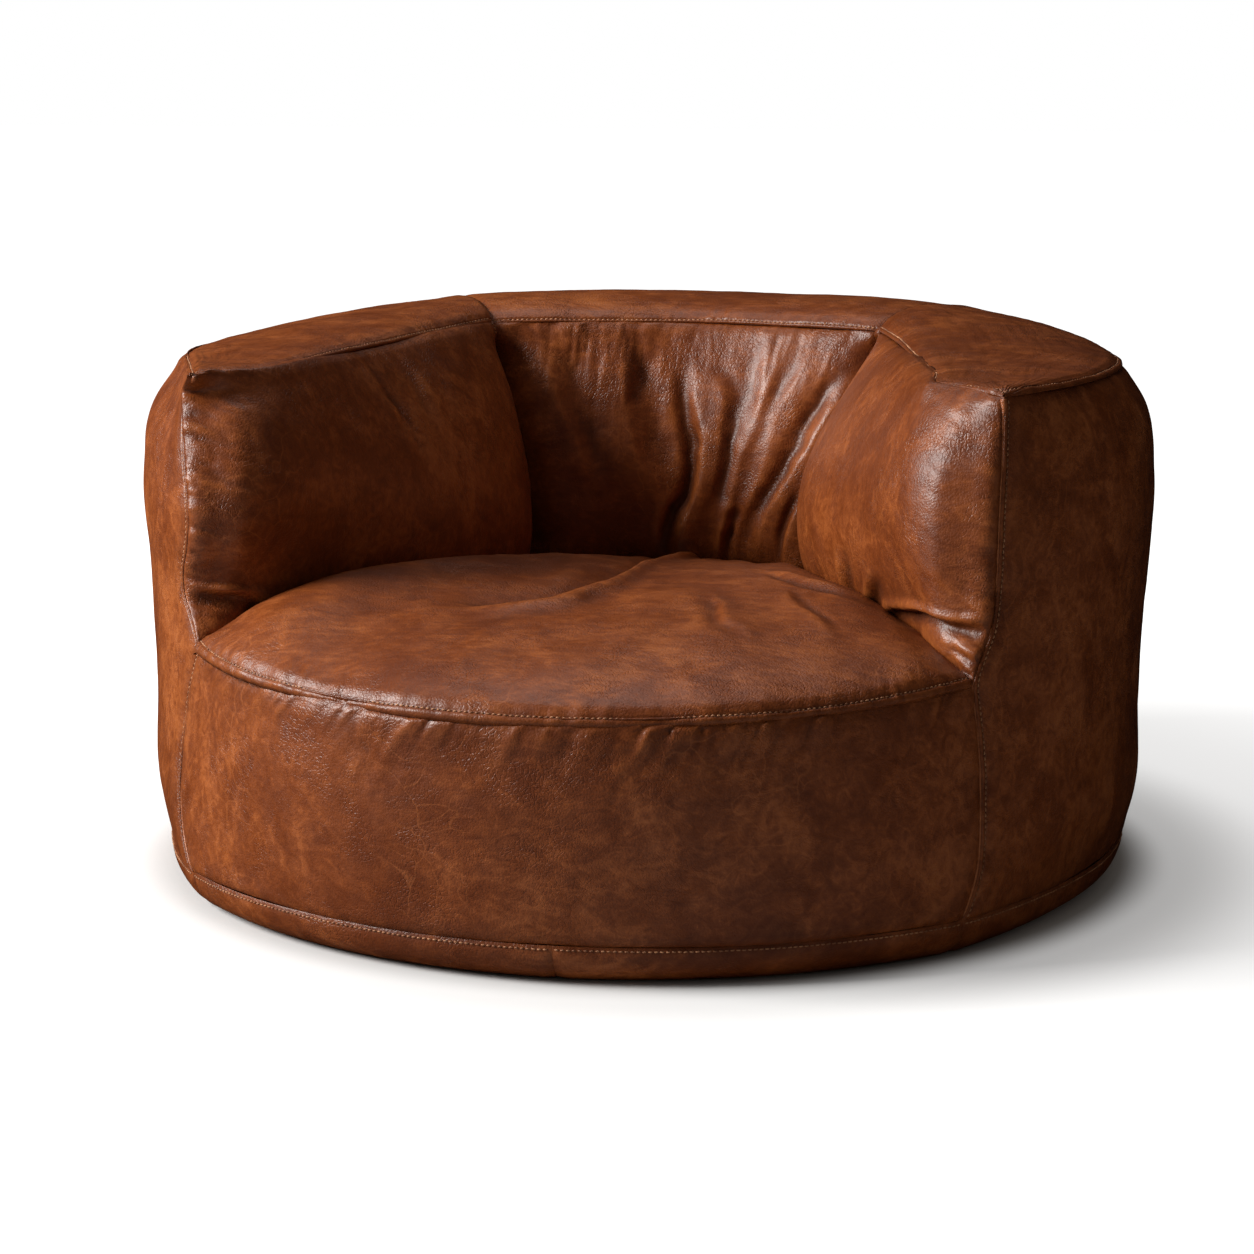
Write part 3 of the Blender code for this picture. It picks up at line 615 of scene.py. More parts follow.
# Each kind of edge: its height, and how far it is drawn out past the seam.
EDGES = {
    "over": (lap_over, 0.0012), "under": (dive_under, 0.0080), "tuck": (dive_under, 0.0),
    "butt": (butted, 0.0), "crease": (creased, 0.006),
}
SIDES = ("start", "end", "low", "high")
NO_EDGE, UNDER, TUCK, CREASE = (None, 0.0), ("under", 0.0), ("tuck", 0.0), ("crease", 0.002)


def closed_shell(name, outer, inner):
    """A closed mesh from an outer and an inner grid joined all round their edge."""
    columns, rows = outer.shape[:2]
    index = np.arange(columns * rows).reshape(columns, rows)
    quads = np.stack([index[:-1, :-1], index[1:, :-1], index[1:, 1:], index[:-1, 1:]], -1).reshape(-1, 4)
    rim = np.concatenate([index[:, 0], index[-1, 1:], index[-2::-1, -1], index[0, -2:0:-1]])
    ahead = np.roll(rim, -1)
    count = columns * rows
    sides = np.stack([rim, rim + count, ahead + count, ahead], -1)
    faces = np.concatenate([quads, quads[:, ::-1] + count, sides])
    return polygon_mesh(name, np.concatenate([outer.reshape(-1, 3), inner.reshape(-1, 3)]), faces)


def enclosed(points, faces):
    """The volume inside closed four-sided faces: negative where they point inwards."""
    a, b, c, d = (points[faces[:, k]] for k in range(4))
    return float((a * np.cross(b, c)).sum() + (a * np.cross(c, d)).sum()) / 6


def polygon_mesh(name, points, faces):
    """A mesh object from points and closed four-sided faces turned outwards, shaded smooth."""
    if enclosed(points, faces) < 0:
        faces = faces[:, ::-1]
    mesh = bpy.data.meshes.new(name)
    mesh.vertices.add(len(points))
    mesh.vertices.foreach_set("co", np.asarray(points, np.float32).ravel())
    mesh.loops.add(faces.size)
    mesh.loops.foreach_set("vertex_index", np.asarray(faces, np.int32).ravel())
    mesh.polygons.add(len(faces))
    mesh.polygons.foreach_set("loop_start", np.arange(0, faces.size, faces.shape[1], dtype=np.int32))
    mesh.update(calc_edges=True)
    mesh.shade_smooth()
    made = bpy.data.objects.new(name, mesh)
    bpy.context.scene.collection.objects.link(made)
    return made


def add_value(piece, label, values):
    """Store one number per vertex for the materials to read."""
    store = piece.data.attributes.new(label, "FLOAT", "POINT")
    store.data.foreach_set("value", np.asarray(values, np.float32).ravel())


# %% [markdown]
# ## Pull-up leather
# The hide is a waxed, aniline-dyed cognac. The dye sits unevenly, so brown and chestnut clouds
# drift over it, finer streaks run through them, and pale veins and scratches cross it. Where the
# leather is stretched over an edge the wax pulls lighter; in the hollows of folds and creases the
# colour is darkened as painted shade, and beside the seams it is darker too. These effects are
# shader groups, so every leather piece uses the same ones with its own values. They only put out
# colours and values; the shader itself stays in each material.

# %% Hide colour group
def make_hide_colour():
    """Dye clouds at three sizes, streaks drawn out along the hide, and pale veins."""
    tree, take, give = new_group(
        "hide_colour",
        [
            ("Vector", "Vector", None), ("Deep", "Color", (0.05, 0.015, 0.004, 1)),
            ("Middle", "Color", (0.2, 0.06, 0.02, 1)), ("Pale", "Color", (0.35, 0.13, 0.05, 1)),
            ("Veins", "Float", 0.5),
        ],
        [("Color", "Color")],
    )
    place = take["Vector"]
    clouds = noise_of(tree, place, 3.6, 4.0, 0.55, 0.5)
    patches = noise_of(tree, place, 15.0, 6.0, 0.62, 0.8)
    drawn = turned_by(tree, place, (0.4, 0.7, 0.5), (1.0, 3.0, 2.2))
    streaks = noise_of(tree, drawn, 30.0, 6.0, 0.68, 1.4)
    freckles = noise_of(tree, place, 160.0, 3.0, 0.6)
    tone = maths(tree, "MULTIPLY_ADD", clouds, 0.62, maths(tree, "MULTIPLY", patches, 0.82))
    tone = maths(tree, "MULTIPLY_ADD", streaks, 0.76, tone)
    tone = maths(tree, "MULTIPLY_ADD", freckles, 0.16, tone)
    base = blend(tree, ramp(tree, tone, 0.92, 1.42), take["Deep"], take["Middle"])
    base = blend(tree, ramp(tree, tone, 1.16, 1.62, 0.0, 0.85), base, take["Pale"])
    cracks = cells_of(tree, warped(tree, place, 9.0, 0.12), 26.0)
    veins = ramp(tree, cracks, 0.0, 0.030, 1.0, 0.0)
    here = ramp(tree, noise_of(tree, place, 8.0, 2.0), 0.46, 0.66)
    veins = maths(tree, "MULTIPLY", maths(tree, "MULTIPLY", veins, here), take["Veins"])
    tree.links.new(blend(tree, veins, base, take["Pale"]), give["Color"])
    return tree


# %% Grain group
def make_grain():
    """Pebbles about a millimetre across, hairline creases round islands of them, and soft rumples."""
    tree, take, give = new_group(
        "hide_grain",
        [("Vector", "Vector", None), ("Rumple", "Float", 0.5), ("Crease", "Float", 0.5)],
        [("Pebble", "Float"), ("Creases", "Float"), ("Rumples", "Float")],
    )
    place = take["Vector"]
    pebbles = {"Vector": warped(tree, place, 70.0, 0.004), "Scale": 430.0, "Smoothness": 0.30}
    pebble = node(tree, "TexVoronoi", pebbles, feature="SMOOTH_F1").outputs[0]
    pore = noise_of(tree, place, 1300.0, 2.0)
    fine = maths(tree, "MULTIPLY_ADD", pore, 0.25, maths(tree, "SUBTRACT", 1.0, pebble))
    tree.links.new(fine, give["Pebble"])
    moved = warped(tree, place, 24.0, 0.022)
    lines = ramp(tree, cells_of(tree, moved, 230.0), 0.0, 0.16)
    where = ramp(tree, noise_of(tree, place, 17.0, 3.0, 0.6), 0.42, 0.62)
    deep = maths(tree, "MULTIPLY", where, take["Crease"])
    tree.links.new(maths(tree, "MULTIPLY", maths(tree, "SUBTRACT", lines, 1.0), deep), give["Creases"])
    ridges = noise_of(tree, moved, 34.0, 5.0, 0.62, 0.6)
    tree.links.new(maths(tree, "MULTIPLY", ridges, take["Rumple"]), give["Rumples"])
    return tree


# %% Wear and painted shade group
def make_wear_and_shade():
    """Lighter on stretched ridges, darkened by painted shade in hollows, darker beside seams, with a ragged
    edge to each.
    """
    tree, take, give = new_group(
        "hide_wear",
        [
            ("Vector", "Vector", None), ("Color", "Color", (0.2, 0.06, 0.02, 1)),
            ("Pulled", "Color", (0.4, 0.16, 0.07, 1)), ("Shade And Seams", "Color", (0.02, 0.006, 0.002, 1)),
            ("Ridge", "Float", 0.0), ("Hollow", "Float", 0.0), ("Seam", "Float", 0.0),
            ("Scuffs", "Float", 0.5),
        ],
        [("Color", "Color"), ("Polish", "Float")],
    )
    place = take["Vector"]
    ragged = noise_of(tree, place, 55.0, 6.0, 0.65)
    high = maths(tree, "MULTIPLY", take["Ridge"], ramp(tree, ragged, 0.3, 0.7), clamp=True)
    low = maths(tree, "MULTIPLY", take["Hollow"], 0.6, clamp=True)
    near = maths(tree, "MULTIPLY", take["Seam"], ramp(tree, ragged, 0.25, 0.75, 0.1, 0.45))
    colour = blend(tree, maths(tree, "MULTIPLY", high, 0.4), take["Color"], take["Pulled"])
    # Painted shade: hollows are blended towards the dark tone, and the strip beside each seam is darkened
    # with it.
    colour = blend(tree, maths(tree, "MAXIMUM", low, near), colour, take["Shade And Seams"])
    drawn = turned_by(tree, place, (0.3, 0.5, 0.9), (1.0, 7.0, 3.0))
    thin = noise_of(tree, drawn, 60.0, 5.0, 0.7, 2.0)
    marks = maths(tree, "MULTIPLY", ramp(tree, thin, 0.60, 0.74), take["Scuffs"])
    tree.links.new(blend(tree, maths(tree, "MULTIPLY", marks, 0.5), colour, take["Pulled"]), give["Color"])
    polish = maths(tree, "SUBTRACT", maths(tree, "MULTIPLY", high, 0.5), maths(tree, "MULTIPLY", low, 0.5))
    tree.links.new(polish, give["Polish"])
    return tree


HIDE_COLOUR, GRAIN, WEAR_AND_SHADE = make_hide_colour(), make_grain(), make_wear_and_shade()
print("leather groups:", HIDE_COLOUR.name, GRAIN.name, WEAR_AND_SHADE.name)


# %% Leather material
SHAPE_VALUES = ("ridge", "hollow", "seam")


def make_leather(name, deep, middle, pale, rough=0.39, rumple=0.5, crease=0.8, scuffs=0.6):
    """Coloured, grained leather with wear, and painted shade in its hollows. Each input is one hide's own
    recipe.
    """
    made, tree, shader, place = new_paint(name)
    hide = use_group(tree, HIDE_COLOUR, {
        "Vector": place, "Deep": (*deep, 1), "Middle": (*middle, 1), "Pale": (*pale, 1), "Veins": 0.30,
    })
    shape = {n.title(): node(tree, "Attribute", attribute_name=n).outputs["Fac"] for n in SHAPE_VALUES}
    # The dark tone below is painted shade in hollows, and also darkens the strip beside each seam.
    pulled, shade_and_seams = (*(c * 1.25 for c in pale), 1), (*(c * 0.35 for c in deep), 1)
    worn_and_shaded = use_group(tree, WEAR_AND_SHADE, {
        "Vector": place, "Color": hide["Color"], "Pulled": pulled, "Shade And Seams": shade_and_seams, "Scuffs": scuffs, **shape,
    })
    grain = use_group(tree, GRAIN, {"Vector": place, "Rumple": rumple, "Crease": crease})
    tree.links.new(worn_and_shaded["Color"], shader.inputs["Base Color"])
    uneven = noise_of(tree, place, 30.0, 4.0, 0.6)
    roughness = maths(tree, "MULTIPLY_ADD", uneven, 0.22, rough - 0.11)
    roughness = maths(tree, "SUBTRACT", roughness, maths(tree, "MULTIPLY", worn_and_shaded["Polish"], 0.10))
    roughness = maths(tree, "MULTIPLY_ADD", maths(tree, "SUBTRACT", 1.0, grain["Pebble"]), 0.06, roughness)
    tree.links.new(roughness, shader.inputs["Roughness"])
    rumpled = bump_of(tree, grain["Rumples"], 0.5, 0.0016)
    lined = bump_of(tree, grain["Creases"], 0.6, 0.0005, rumpled)
    tree.links.new(bump_of(tree, grain["Pebble"], 0.6, 0.00042, lined), shader.inputs["Normal"])
    shader.inputs["Specular IOR Level"].default_value = 0.38
    return made


# Each hide's dye: deep, middle and pale.
COGNAC = ((0.112, 0.0225, 0.0030), (0.212, 0.0500, 0.0085), (0.350, 0.104, 0.025))
RUBBED = ((0.17, 0.042, 0.011), (0.28, 0.078, 0.022), (0.42, 0.145, 0.052))
LEATHER = make_leather("cognac_leather", *COGNAC)
LEATHER_EDGE = make_leather("folded_edge_leather", *RUBBED, rough=0.38, rumple=0.2)
print("leathers:", LEATHER.name, LEATHER_EDGE.name)

# %% [markdown]
# ## Cutting the panels
# Each panel is one grid of points on its own surface, with close rows along the seams where the
# fold, the stitch line and the swell behind it need them. Its inner face follows 1.4 mm inside.

# %% Panel maker
PANELS = {}


def lumps(x, y, seed, coarse=0.0026, fine=0.0009):
    """Beads settled unevenly behind the leather: broad swells and smaller dimples."""
    small = fine * noise(x, y, 0.055, seed + 7) + 0.3 * fine * noise(x, y, 0.02, seed + 9)
    return coarse * noise(x, y, 0.15, seed) + small


SEAT_MIDDLE = (0.0, -0.08)


def sunk(points, lengths, sinks):
    """Pull a panel's edges away from the seat's middle, and down, so that two panels meet in a
    deep crease: each pull fades with the distance from its side, and near the sides it names."""
    out = unit(points[..., :2] - SEAT_MIDDLE)
    for side, depth, width, down, fades in sinks:
        amount = depth * np.exp(-((lengths[side] / width) ** 1.5))
        for other in fades:
            amount = amount * smooth(lengths[other], 0, 0.05)
        way = np.concatenate([out * math.sqrt(1 - down**2), np.full(amount.shape + (1,), -down)], -1)
        points = points + way * amount[..., None]
    return points


def finish(piece, paint, node_name=None, body="chair"):
    """Let a piece ride on a body, hide the plain node it stands for, and paint it."""
    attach(piece, body)
    if node_name:
        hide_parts(node_name)
    piece.data.materials.append(paint)


def drawn_out(points, lengths, edges, narrow):
    """Draw the edges that go under a fold, or into a crease, a little further along the surface."""
    for axis, pair, beside in ((0, SIDES[:2], SIDES[2:]), (1, SIDES[2:], SIDES[:2])):
        tangent = unit(np.gradient(points, axis=axis))
        inside = smooth(np.minimum(lengths[beside[0]], lengths[beside[1]]), 0.0, 0.035)
        for side, sign in zip(pair, (-1, 1)):
            kind = edges[SIDES.index(side)][0]
            if kind and EDGES[kind][1]:
                out = EDGES[kind][1] * np.exp(-lengths[side] / (0.6 * EDGES[kind][1] + 0.002))
                out = out * narrow * (inside if kind == "under" else 1.0)
                points = points + sign * tangent * out[..., None]
    return points


def leather_panel(name, node_name, surface, size, edges, detail, outwards, step, sinks=()):
    """Cut one panel: sample its surface, shape its four edges, add its folds, give it a wall.

    surface(u, v) gives points for fractions u and v; size is the panel's length along both.
    edges gives (kind, width) for its start, end, low and high sides.
    detail(x, y, lengths) gives extra heights, with x and y in metres along the panel.
    A point is the surface's own, sunk at its creases, and moved along its normal by its height.
    """
    u = (edge_samples(size[0], step) / size[0])[:, None]
    v = (edge_samples(size[1], step) / size[1])[None, :]
    u, v = np.broadcast_arrays(u, v)
    points = surface(u, v)
    lengths = grid_lengths(points)
    points = sunk(points, lengths, sinks)
    height = detail(u * size[0], v * size[1], lengths)
    to_ends = np.minimum(lengths["start"], lengths["end"])
    to_sides = np.minimum(lengths["low"], lengths["high"])
    corner = smooth(to_ends + to_sides, 0.0, 0.012)
    for side, (kind, width) in zip(SIDES, edges):
        if kind:
            height = height + EDGES[kind][0](lengths[side], width) * (0.3 + 0.7 * corner)
    narrow = smooth(lengths["low"][:, -1:], 0.0, 0.03)
    height = height * narrow
    points = points + grid_normals(points, outwards) * height[..., None]
    points = drawn_out(points, lengths, edges, narrow)
    normals = grid_normals(points, outwards)
    piece = closed_shell(name, points, points - normals * HIDE)
    # Masks for the leather: ridge for pulled, lighter leather, hollow for painted shade in valleys, seam for
    # the darker strip beside the seams.
    bulge = height - blurred(height, 40)
    ridge, hollow = np.clip(bulge / 0.0012 - 0.1, 0, 1), np.clip(-bulge / 0.0016 - 0.15, 0, 1)
    seam = np.exp(-np.minimum(to_ends, to_sides) / 0.014)
    for label, values in zip(SHAPE_VALUES, (ridge, hollow, seam)):
        add_value(piece, label, np.concatenate([values.ravel(), values.ravel()]))
    finish(piece, LEATHER, node_name)
    PANELS[name] = {"points": points, "normals": normals, "lengths": lengths}
    print(f"{name}: {points.shape[0]} by {points.shape[1]} points")


# %% [markdown]
# ## Seat and front
# The seat panel is stretched over the seat bag and rolls down to its seam. It is lapped over the
# front panel: the fold hangs over a dark gap, and the slack of the front panel gathers in short
# slanting puckers right under it. Sitting has left a shallow S-shaped dip toward the back.

# %% Seat panel
SEAT_SIZE = (0.90, 0.58)
SEAT_LAP = ("over", 0.0085)
# Folds are rows of: curve, width, height, share of the hollow, and the side the hollow is on.
SEAT_FOLDS = (
    (((0.55, 1.30), (0.480, 0.80), (0.485, 0.54), (0.43, 0.38), (0.31, 0.31)), 0.021, -0.0170, 0.5, 1),
    (((0.99, 0.36), (0.88, 0.46), (0.80, 0.60)), 0.014, 0.0045, 0.8, 1),
    (((0.74, 0.16), (0.70, 0.28), (0.68, 0.40)), 0.009, 0.0022, 0.8, 1),
    (((0.84, 0.14), (0.80, 0.30), (0.80, 0.44)), 0.010, 0.0026, 0.8, -1),
)
# Sinks are rows of: side, depth, width, how far down it pulls, and the sides near which it fades.
SEAT_SINKS = (
    ("start", 0.014, 0.018, 0.8, ("low",)),
    ("end", 0.014, 0.018, 0.8, ("low",)),
    ("high", 0.014, 0.018, 0.8, ()),
)


def folds_at(x, y, rows, size):
    """The sum of a panel's folds."""
    return sum(fold(x, y, *row, size) for row in rows)


def seat_detail(x, y, lengths):
    """Lumps, puckers along the front seam and side creases, and the dips that sitting leaves."""
    pad = 0.015 * np.exp(-(((x - 0.10) / 0.09) ** 2) - (((y - 0.14) / 0.13) ** 2))
    height = lumps(x, y, 11, 0.0034, 0.0010) + pad * smooth(lengths["low"], 0, 0.08)
    height += puckers(x, lengths["low"], 12, 0.011, 0.030, 0.0030)
    height += 0.0010 * noise(x + 0.4 * y, 0.6 * y - 0.3 * x, 0.045, 13)
    height += puckers(y, lengths["start"], 15, 0.022, 0.050, 0.0030, 0.5)
    height += puckers(y, lengths["end"], 18, 0.022, 0.050, 0.0034, -0.5)
    height += puckers(x, lengths["high"], 21, 0.020, 0.035, 0.0024)
    return height + folds_at(x, y, SEAT_FOLDS, SEAT_SIZE)


leather_panel(
    "seat_leather", "seat_top_panel", seat_surface, SEAT_SIZE,
    (CREASE, CREASE, SEAT_LAP, CREASE), seat_detail, 1.0, 0.0038, SEAT_SINKS,
)


# %% Front panel
def front_detail(x, y, lengths):
    """Short slanting puckers under the seat seam, and faint vertical slack."""
    height = lumps(x, y, 31, 0.0020, 0.0006)
    height += puckers(x, lengths["high"], 32, 0.013, 0.045, 0.0042, 0.45)
    height += puckers(x, lengths["low"], 35, 0.018, 0.020, 0.0010)
    height += puckers(y, lengths["start"], 37, 0.014, 0.020, 0.0012)
    height += puckers(y, lengths["end"], 38, 0.014, 0.020, 0.0012)
    return height


BASE_SEAM = ("butt", 0.0022)
leather_panel(
    "front_leather", "front_panel", front_surface, (0.90, 0.215),
    (TUCK, TUCK, BASE_SEAM, UNDER), front_detail, 1.0, 0.0032,
)

# %% [markdown]
# ## Outer walls
# Two side walls and a back wall run from the base seam up to the top band. At the front of each
# arm the side wall is folded and lapped over the inner face, with its stitches 5 mm behind.

# %% Outer walls
def wall_detail(seed, front):
    """Slack for an outer wall: lumps, and small puckers along its seams, closer at an arm's front."""
    def detail(x, y, lengths):
        height = lumps(x, y, seed, 0.0030, 0.0008)
        height += puckers(x, lengths["high"], seed + 1, 0.016, 0.026, 0.0016)
        height += puckers(x, lengths["low"], seed + 2, 0.020, 0.020, 0.0010)
        height += puckers(y, lengths["end"], seed + 4, 0.018, 0.022, 0.0011)
        return height + puckers(y, lengths["start"], seed + 3, 0.014 if front else 0.018, 0.022, 0.0013)
    return detail


ARM_LAP, BACK_SEAM = ("over", 0.005), ("butt", 0.0026)
HANDS = ((-1, "left"), (1, "right"))
for side, name in HANDS:
    leather_panel(
        f"outer_leather_{name}", f"outer_panel_{name}",
        lambda u, v, s=side: wall_surface(s, u, v), (0.81, 0.488),
        (ARM_LAP, BACK_SEAM, BASE_SEAM, UNDER), wall_detail(41 + side, True), side, 0.0038,
    )
leather_panel(
    "outer_leather_back", "outer_panel_back", back_wall_surface, (0.777, 0.488),
    (BACK_SEAM, BACK_SEAM, BASE_SEAM, UNDER), wall_detail(51, False), -1.0, 0.0038,
)

# %% [markdown]
# ## Inner faces
# The arms' inner faces bulge over the seat and gather tightly along the front seam. The back is
# the slackest panel: beads have sunk, so long folds fan down from its top seam to the crease.

# %% Arms' inner faces
ARM_SIZE = (0.50, 0.27)
ARM_FOLDS = {
    1: (
        (((-0.10, 0.80), (0.12, 0.83), (0.28, 0.89), (0.44, 1.06)), 0.0055, -0.0085, 0.7, -1),
        (((0.50, 1.10), (0.38, 0.90), (0.30, 0.78)), 0.0070, -0.0065, 0.5, 1),
        (((0.54, 1.10), (0.48, 0.86), (0.46, 0.68)), 0.0090, -0.0045, 0.6, 1),
        (((0.00, 0.92), (0.10, 0.92), (0.20, 0.97)), 0.0100, 0.0050, 0.4, 1),
    ),
    -1: (
        (((-0.08, 0.80), (0.08, 0.85), (0.20, 1.04)), 0.0065, -0.0090, 0.7, -1),
        (((0.00, 0.93), (0.07, 0.95), (0.12, 1.02)), 0.0090, 0.0040, 0.4, 1),
        (((0.46, 0.02), (0.50, 0.24), (0.52, 0.46)), 0.0080, 0.0030, 1.0, -1),
        (((0.60, 0.02), (0.63, 0.20), (0.63, 0.36)), 0.0110, 0.0020, 0.8, 1),
    ),
}
ARM_SINKS = (("high", 0.014, 0.018, 0.8, ("start",)), ("end", 0.044, 0.018, 0.0, ("low",)))


def arm_detail(side):
    """Tight puckers along the front seam, soft ones elsewhere, and the pinch where the arm meets the
    seat. The folds fade out at the front seam, so that the lap there stays closed."""
    def detail(x, y, lengths):
        height = lumps(x, y, 61 + 3 * side, 0.0030, 0.0010)
        height += puckers(y, lengths["start"], 62 + side, 0.013, 0.060, 0.0060, 0.30 * side)
        height += puckers(x, lengths["low"], 65 + side, 0.014, 0.022, 0.0014)
        height += puckers(x, lengths["high"], 68 + side, 0.022, 0.040, 0.0030)
        height += puckers(y, lengths["end"], 71 + side, 0.020, 0.035, 0.0018)
        free = 0.12 + 0.88 * smooth(lengths["start"], 0.0, 0.024)
        return height + free * folds_at(x, y, ARM_FOLDS[side], ARM_SIZE)
    return detail


for side, name in HANDS:
    leather_panel(
        f"arm_leather_{name}", f"inner_arm_panel_{name}",
        lambda u, v, s=side: arm_surface(s, u, v), ARM_SIZE,
        (TUCK, CREASE, UNDER, CREASE), arm_detail(side), side, 0.0026, ARM_SINKS,
    )


# %% Inner back
BACK_SIZE = (0.44, 0.265)
BACK_FOLDS = (
    (
        ((0.52, 0.05), (0.535, 0.28), (0.550, 0.48), (0.545, 0.70), (0.50, 0.86), (0.45, 1.02)),
        0.0115, 0.0088, 1.4, 1,
    ),
    (((0.545, 0.16), (0.600, 0.30), (0.595, 0.52), (0.575, 0.78)), 0.0095, 0.0030, 0.8, -1),
    (((0.72, 0.00), (0.715, 0.30), (0.680, 0.54), (0.620, 0.84)), 0.0150, 0.0040, 0.9, 1),
    (((0.86, 0.02), (0.785, 0.38), (0.745, 0.58), (0.700, 0.86)), 0.0120, 0.0032, 0.8, 1),
    (((1.00, 0.16), (0.90, 0.44), (0.845, 0.62), (0.77, 0.84), (0.73, 1.0)), 0.0130, 0.0066, 1.1, 1),
    (((0.32, -0.05), (0.335, 0.26), (0.365, 0.50), (0.41, 0.80)), 0.0180, 0.0060, 0.9, -1),
    (((0.14, 0.02), (0.15, 0.32), (0.20, 0.66)), 0.0170, 0.0046, 0.8, -1),
    (((0.93, 0.66), (0.88, 0.84), (0.85, 1.0)), 0.0090, 0.0050, 1.0, 1),
    (((0.66, 0.72), (0.62, 0.88), (0.60, 1.0)), 0.0080, 0.0046, 1.0, -1),
)
BACK_CREASES = (("crease", 0.003), ("crease", 0.003), UNDER, CREASE)
BACK_SINKS = (
    ("high", 0.014, 0.018, 0.8, ()),
    ("start", 0.044, 0.022, 0.0, ("low",)),
    ("end", 0.044, 0.016, 0.0, ("low",)),
)


def back_detail(x, y, lengths):
    """Long folds fanning down from the top seam, with deep valleys between them."""
    height = lumps(x, y, 81, 0.0026, 0.0010)
    height += puckers(x, lengths["low"], 82, 0.020, 0.090, 0.0040, 0.15)
    height += puckers(x, lengths["low"], 86, 0.009, 0.060, 0.0014, -0.1)
    height += puckers(x, lengths["high"], 84, 0.024, 0.045, 0.0040, 0.3)
    return height + folds_at(x, y, BACK_FOLDS, BACK_SIZE)


leather_panel(
    "back_leather", "inner_back_panel", back_surface, BACK_SIZE, BACK_CREASES, back_detail,
    -1.0, 0.0024, BACK_SINKS,
)

# %% [markdown]
# ## Top band
# A crescent in three parts caps the arms and the back. It is lapped over both the outer walls and
# the inner faces, so a stitched strip runs along each of its edges.

# %% Top band
def band_detail(seed, slant):
    """Fine wrinkles drawn out along the band, lumps, and puckers beside the seams."""
    def detail(x, y, lengths):
        height = lumps(x, y, seed, 0.0026, 0.0008)
        bent = y + 0.02 * noise(x, y, 0.12, seed + 1)
        height += 0.00032 * (1 - 2 * np.abs(noise(x * 0.15 + slant * bent, bent, 0.010, seed + 2)))
        height += puckers(x, lengths["low"], seed + 3, 0.014, 0.018, 0.0012)
        return height + puckers(x, lengths["high"], seed + 4, 0.014, 0.020, 0.0014)
    return detail


BAND_SEAM, OUTER_LAP = ("butt", 0.0024), ("over", 0.006)
BAND_POINT = 0.004  # where the band's front point starts, as a share of its length
for side, name in HANDS:
    leather_panel(
        f"top_leather_{name}", f"top_band_{name}",
        lambda u, v, s=side: arm_band_surface(s, BAND_POINT + (1 - BAND_POINT) * u, v), (0.70, 0.24),
        (NO_EDGE, BAND_SEAM, OUTER_LAP, ("over", 0.005)), band_detail(91 + side, 0.5), side, 0.0034,
    )
leather_panel(
    "top_leather_back", "top_band_back", back_band_surface, (0.66, 0.28),
    (BAND_SEAM, BAND_SEAM, OUTER_LAP, ("over", 0.0035)), band_detail(97, -0.5), -1.0, 0.0036,
)

# %% [markdown]
# ## Base band
# A narrow band turns under the chair and stands on the floor. It is cut in four, and its joints
# show as short upright seams.

# %% Base band
BAND_RING = (
    (0.526, 0.0397), (0.5245, 0.029), (0.5190, 0.0160), (0.509, 0.0060), (0.500, 0.0012), (0.490, 0.0002),
    (0.452, 0.0001),
)
BAND_JOINTS = {
    "front_left": (-47.0, 3.0), "front_right": (3.0, 47.2),
    "rear_right": (47.2, 180.0), "rear_left": (180.0, 313.0),
}
ARM_AT, DRAWN_IN = 47.2, 0.017
BAND_TOP_R, BAND_WIDTH, BAND_LIFT = 0.526, 0.112, 0.0012
BAND_EDGES = (("butt", 0.0009), ("butt", 0.0009), ("butt", 0.0018), NO_EDGE)


def band_ring(start, end):
    """A profile of radius and height turned about the chair's middle from one joint to the next. It
    is drawn in below the arms and the back, and lifted a hair where it stands on the floor."""
    def surface(u, v):
        ring = plan_curve(BAND_RING, v)
        angle = start + (end - start) * u
        away = np.abs((angle + 180.0) % 360.0 - 180.0)
        inwards = DRAWN_IN * np.sin(math.pi / 2 * np.clip((away - ARM_AT) / OPEN_ANGLE, 0, 1))
        inwards = inwards * smooth(ring[..., 0], 0.460, 0.510)
        height = ring[..., 1] + BAND_LIFT * smooth(ring[..., 1], 0.02, 0.0)
        return on_circle(ring[..., 0] - inwards, angle, height)
    return surface


def band_slack(seed):
    """Shallow lumps on the side of the band, none where it stands on the floor."""
    def detail(x, y, lengths):
        to_ends = np.minimum(lengths["start"], lengths["end"])
        free = np.exp(-lengths["low"] / 0.02) * smooth(to_ends, 0.0, 0.04)
        gathers = puckers(x, lengths["low"], seed + 1, 0.014, 0.02, 0.0010)
        return free * (lumps(x, y, seed, 0.0006, 0.0006) + gathers)
    return detail


for k, (name, (start, end)) in enumerate(BAND_JOINTS.items()):
    leather_panel(
        f"base_leather_{name}", f"base_band_{name}", band_ring(start, end),
        (math.radians(end - start) * BAND_TOP_R, BAND_WIDTH), BAND_EDGES, band_slack(101 + k), -1.0, 0.0040,
    )

# %% [markdown]
# ## Stitches and rolled edges
# Every lapped seam is held by a row of thick waxed thread. A stitch is 3.7 mm long on a 5.4 mm
# pitch, and both its ends dive into the leather. More than a thousand of them show, so each has only
# a few dozen faces. The fold at the front of each arm is rolled round a thin cord and rubbed pale.

# %% Thread material
THREAD_DARK, THREAD_PALE = (0.22, 0.080, 0.031, 1), (0.45, 0.205, 0.094, 1)


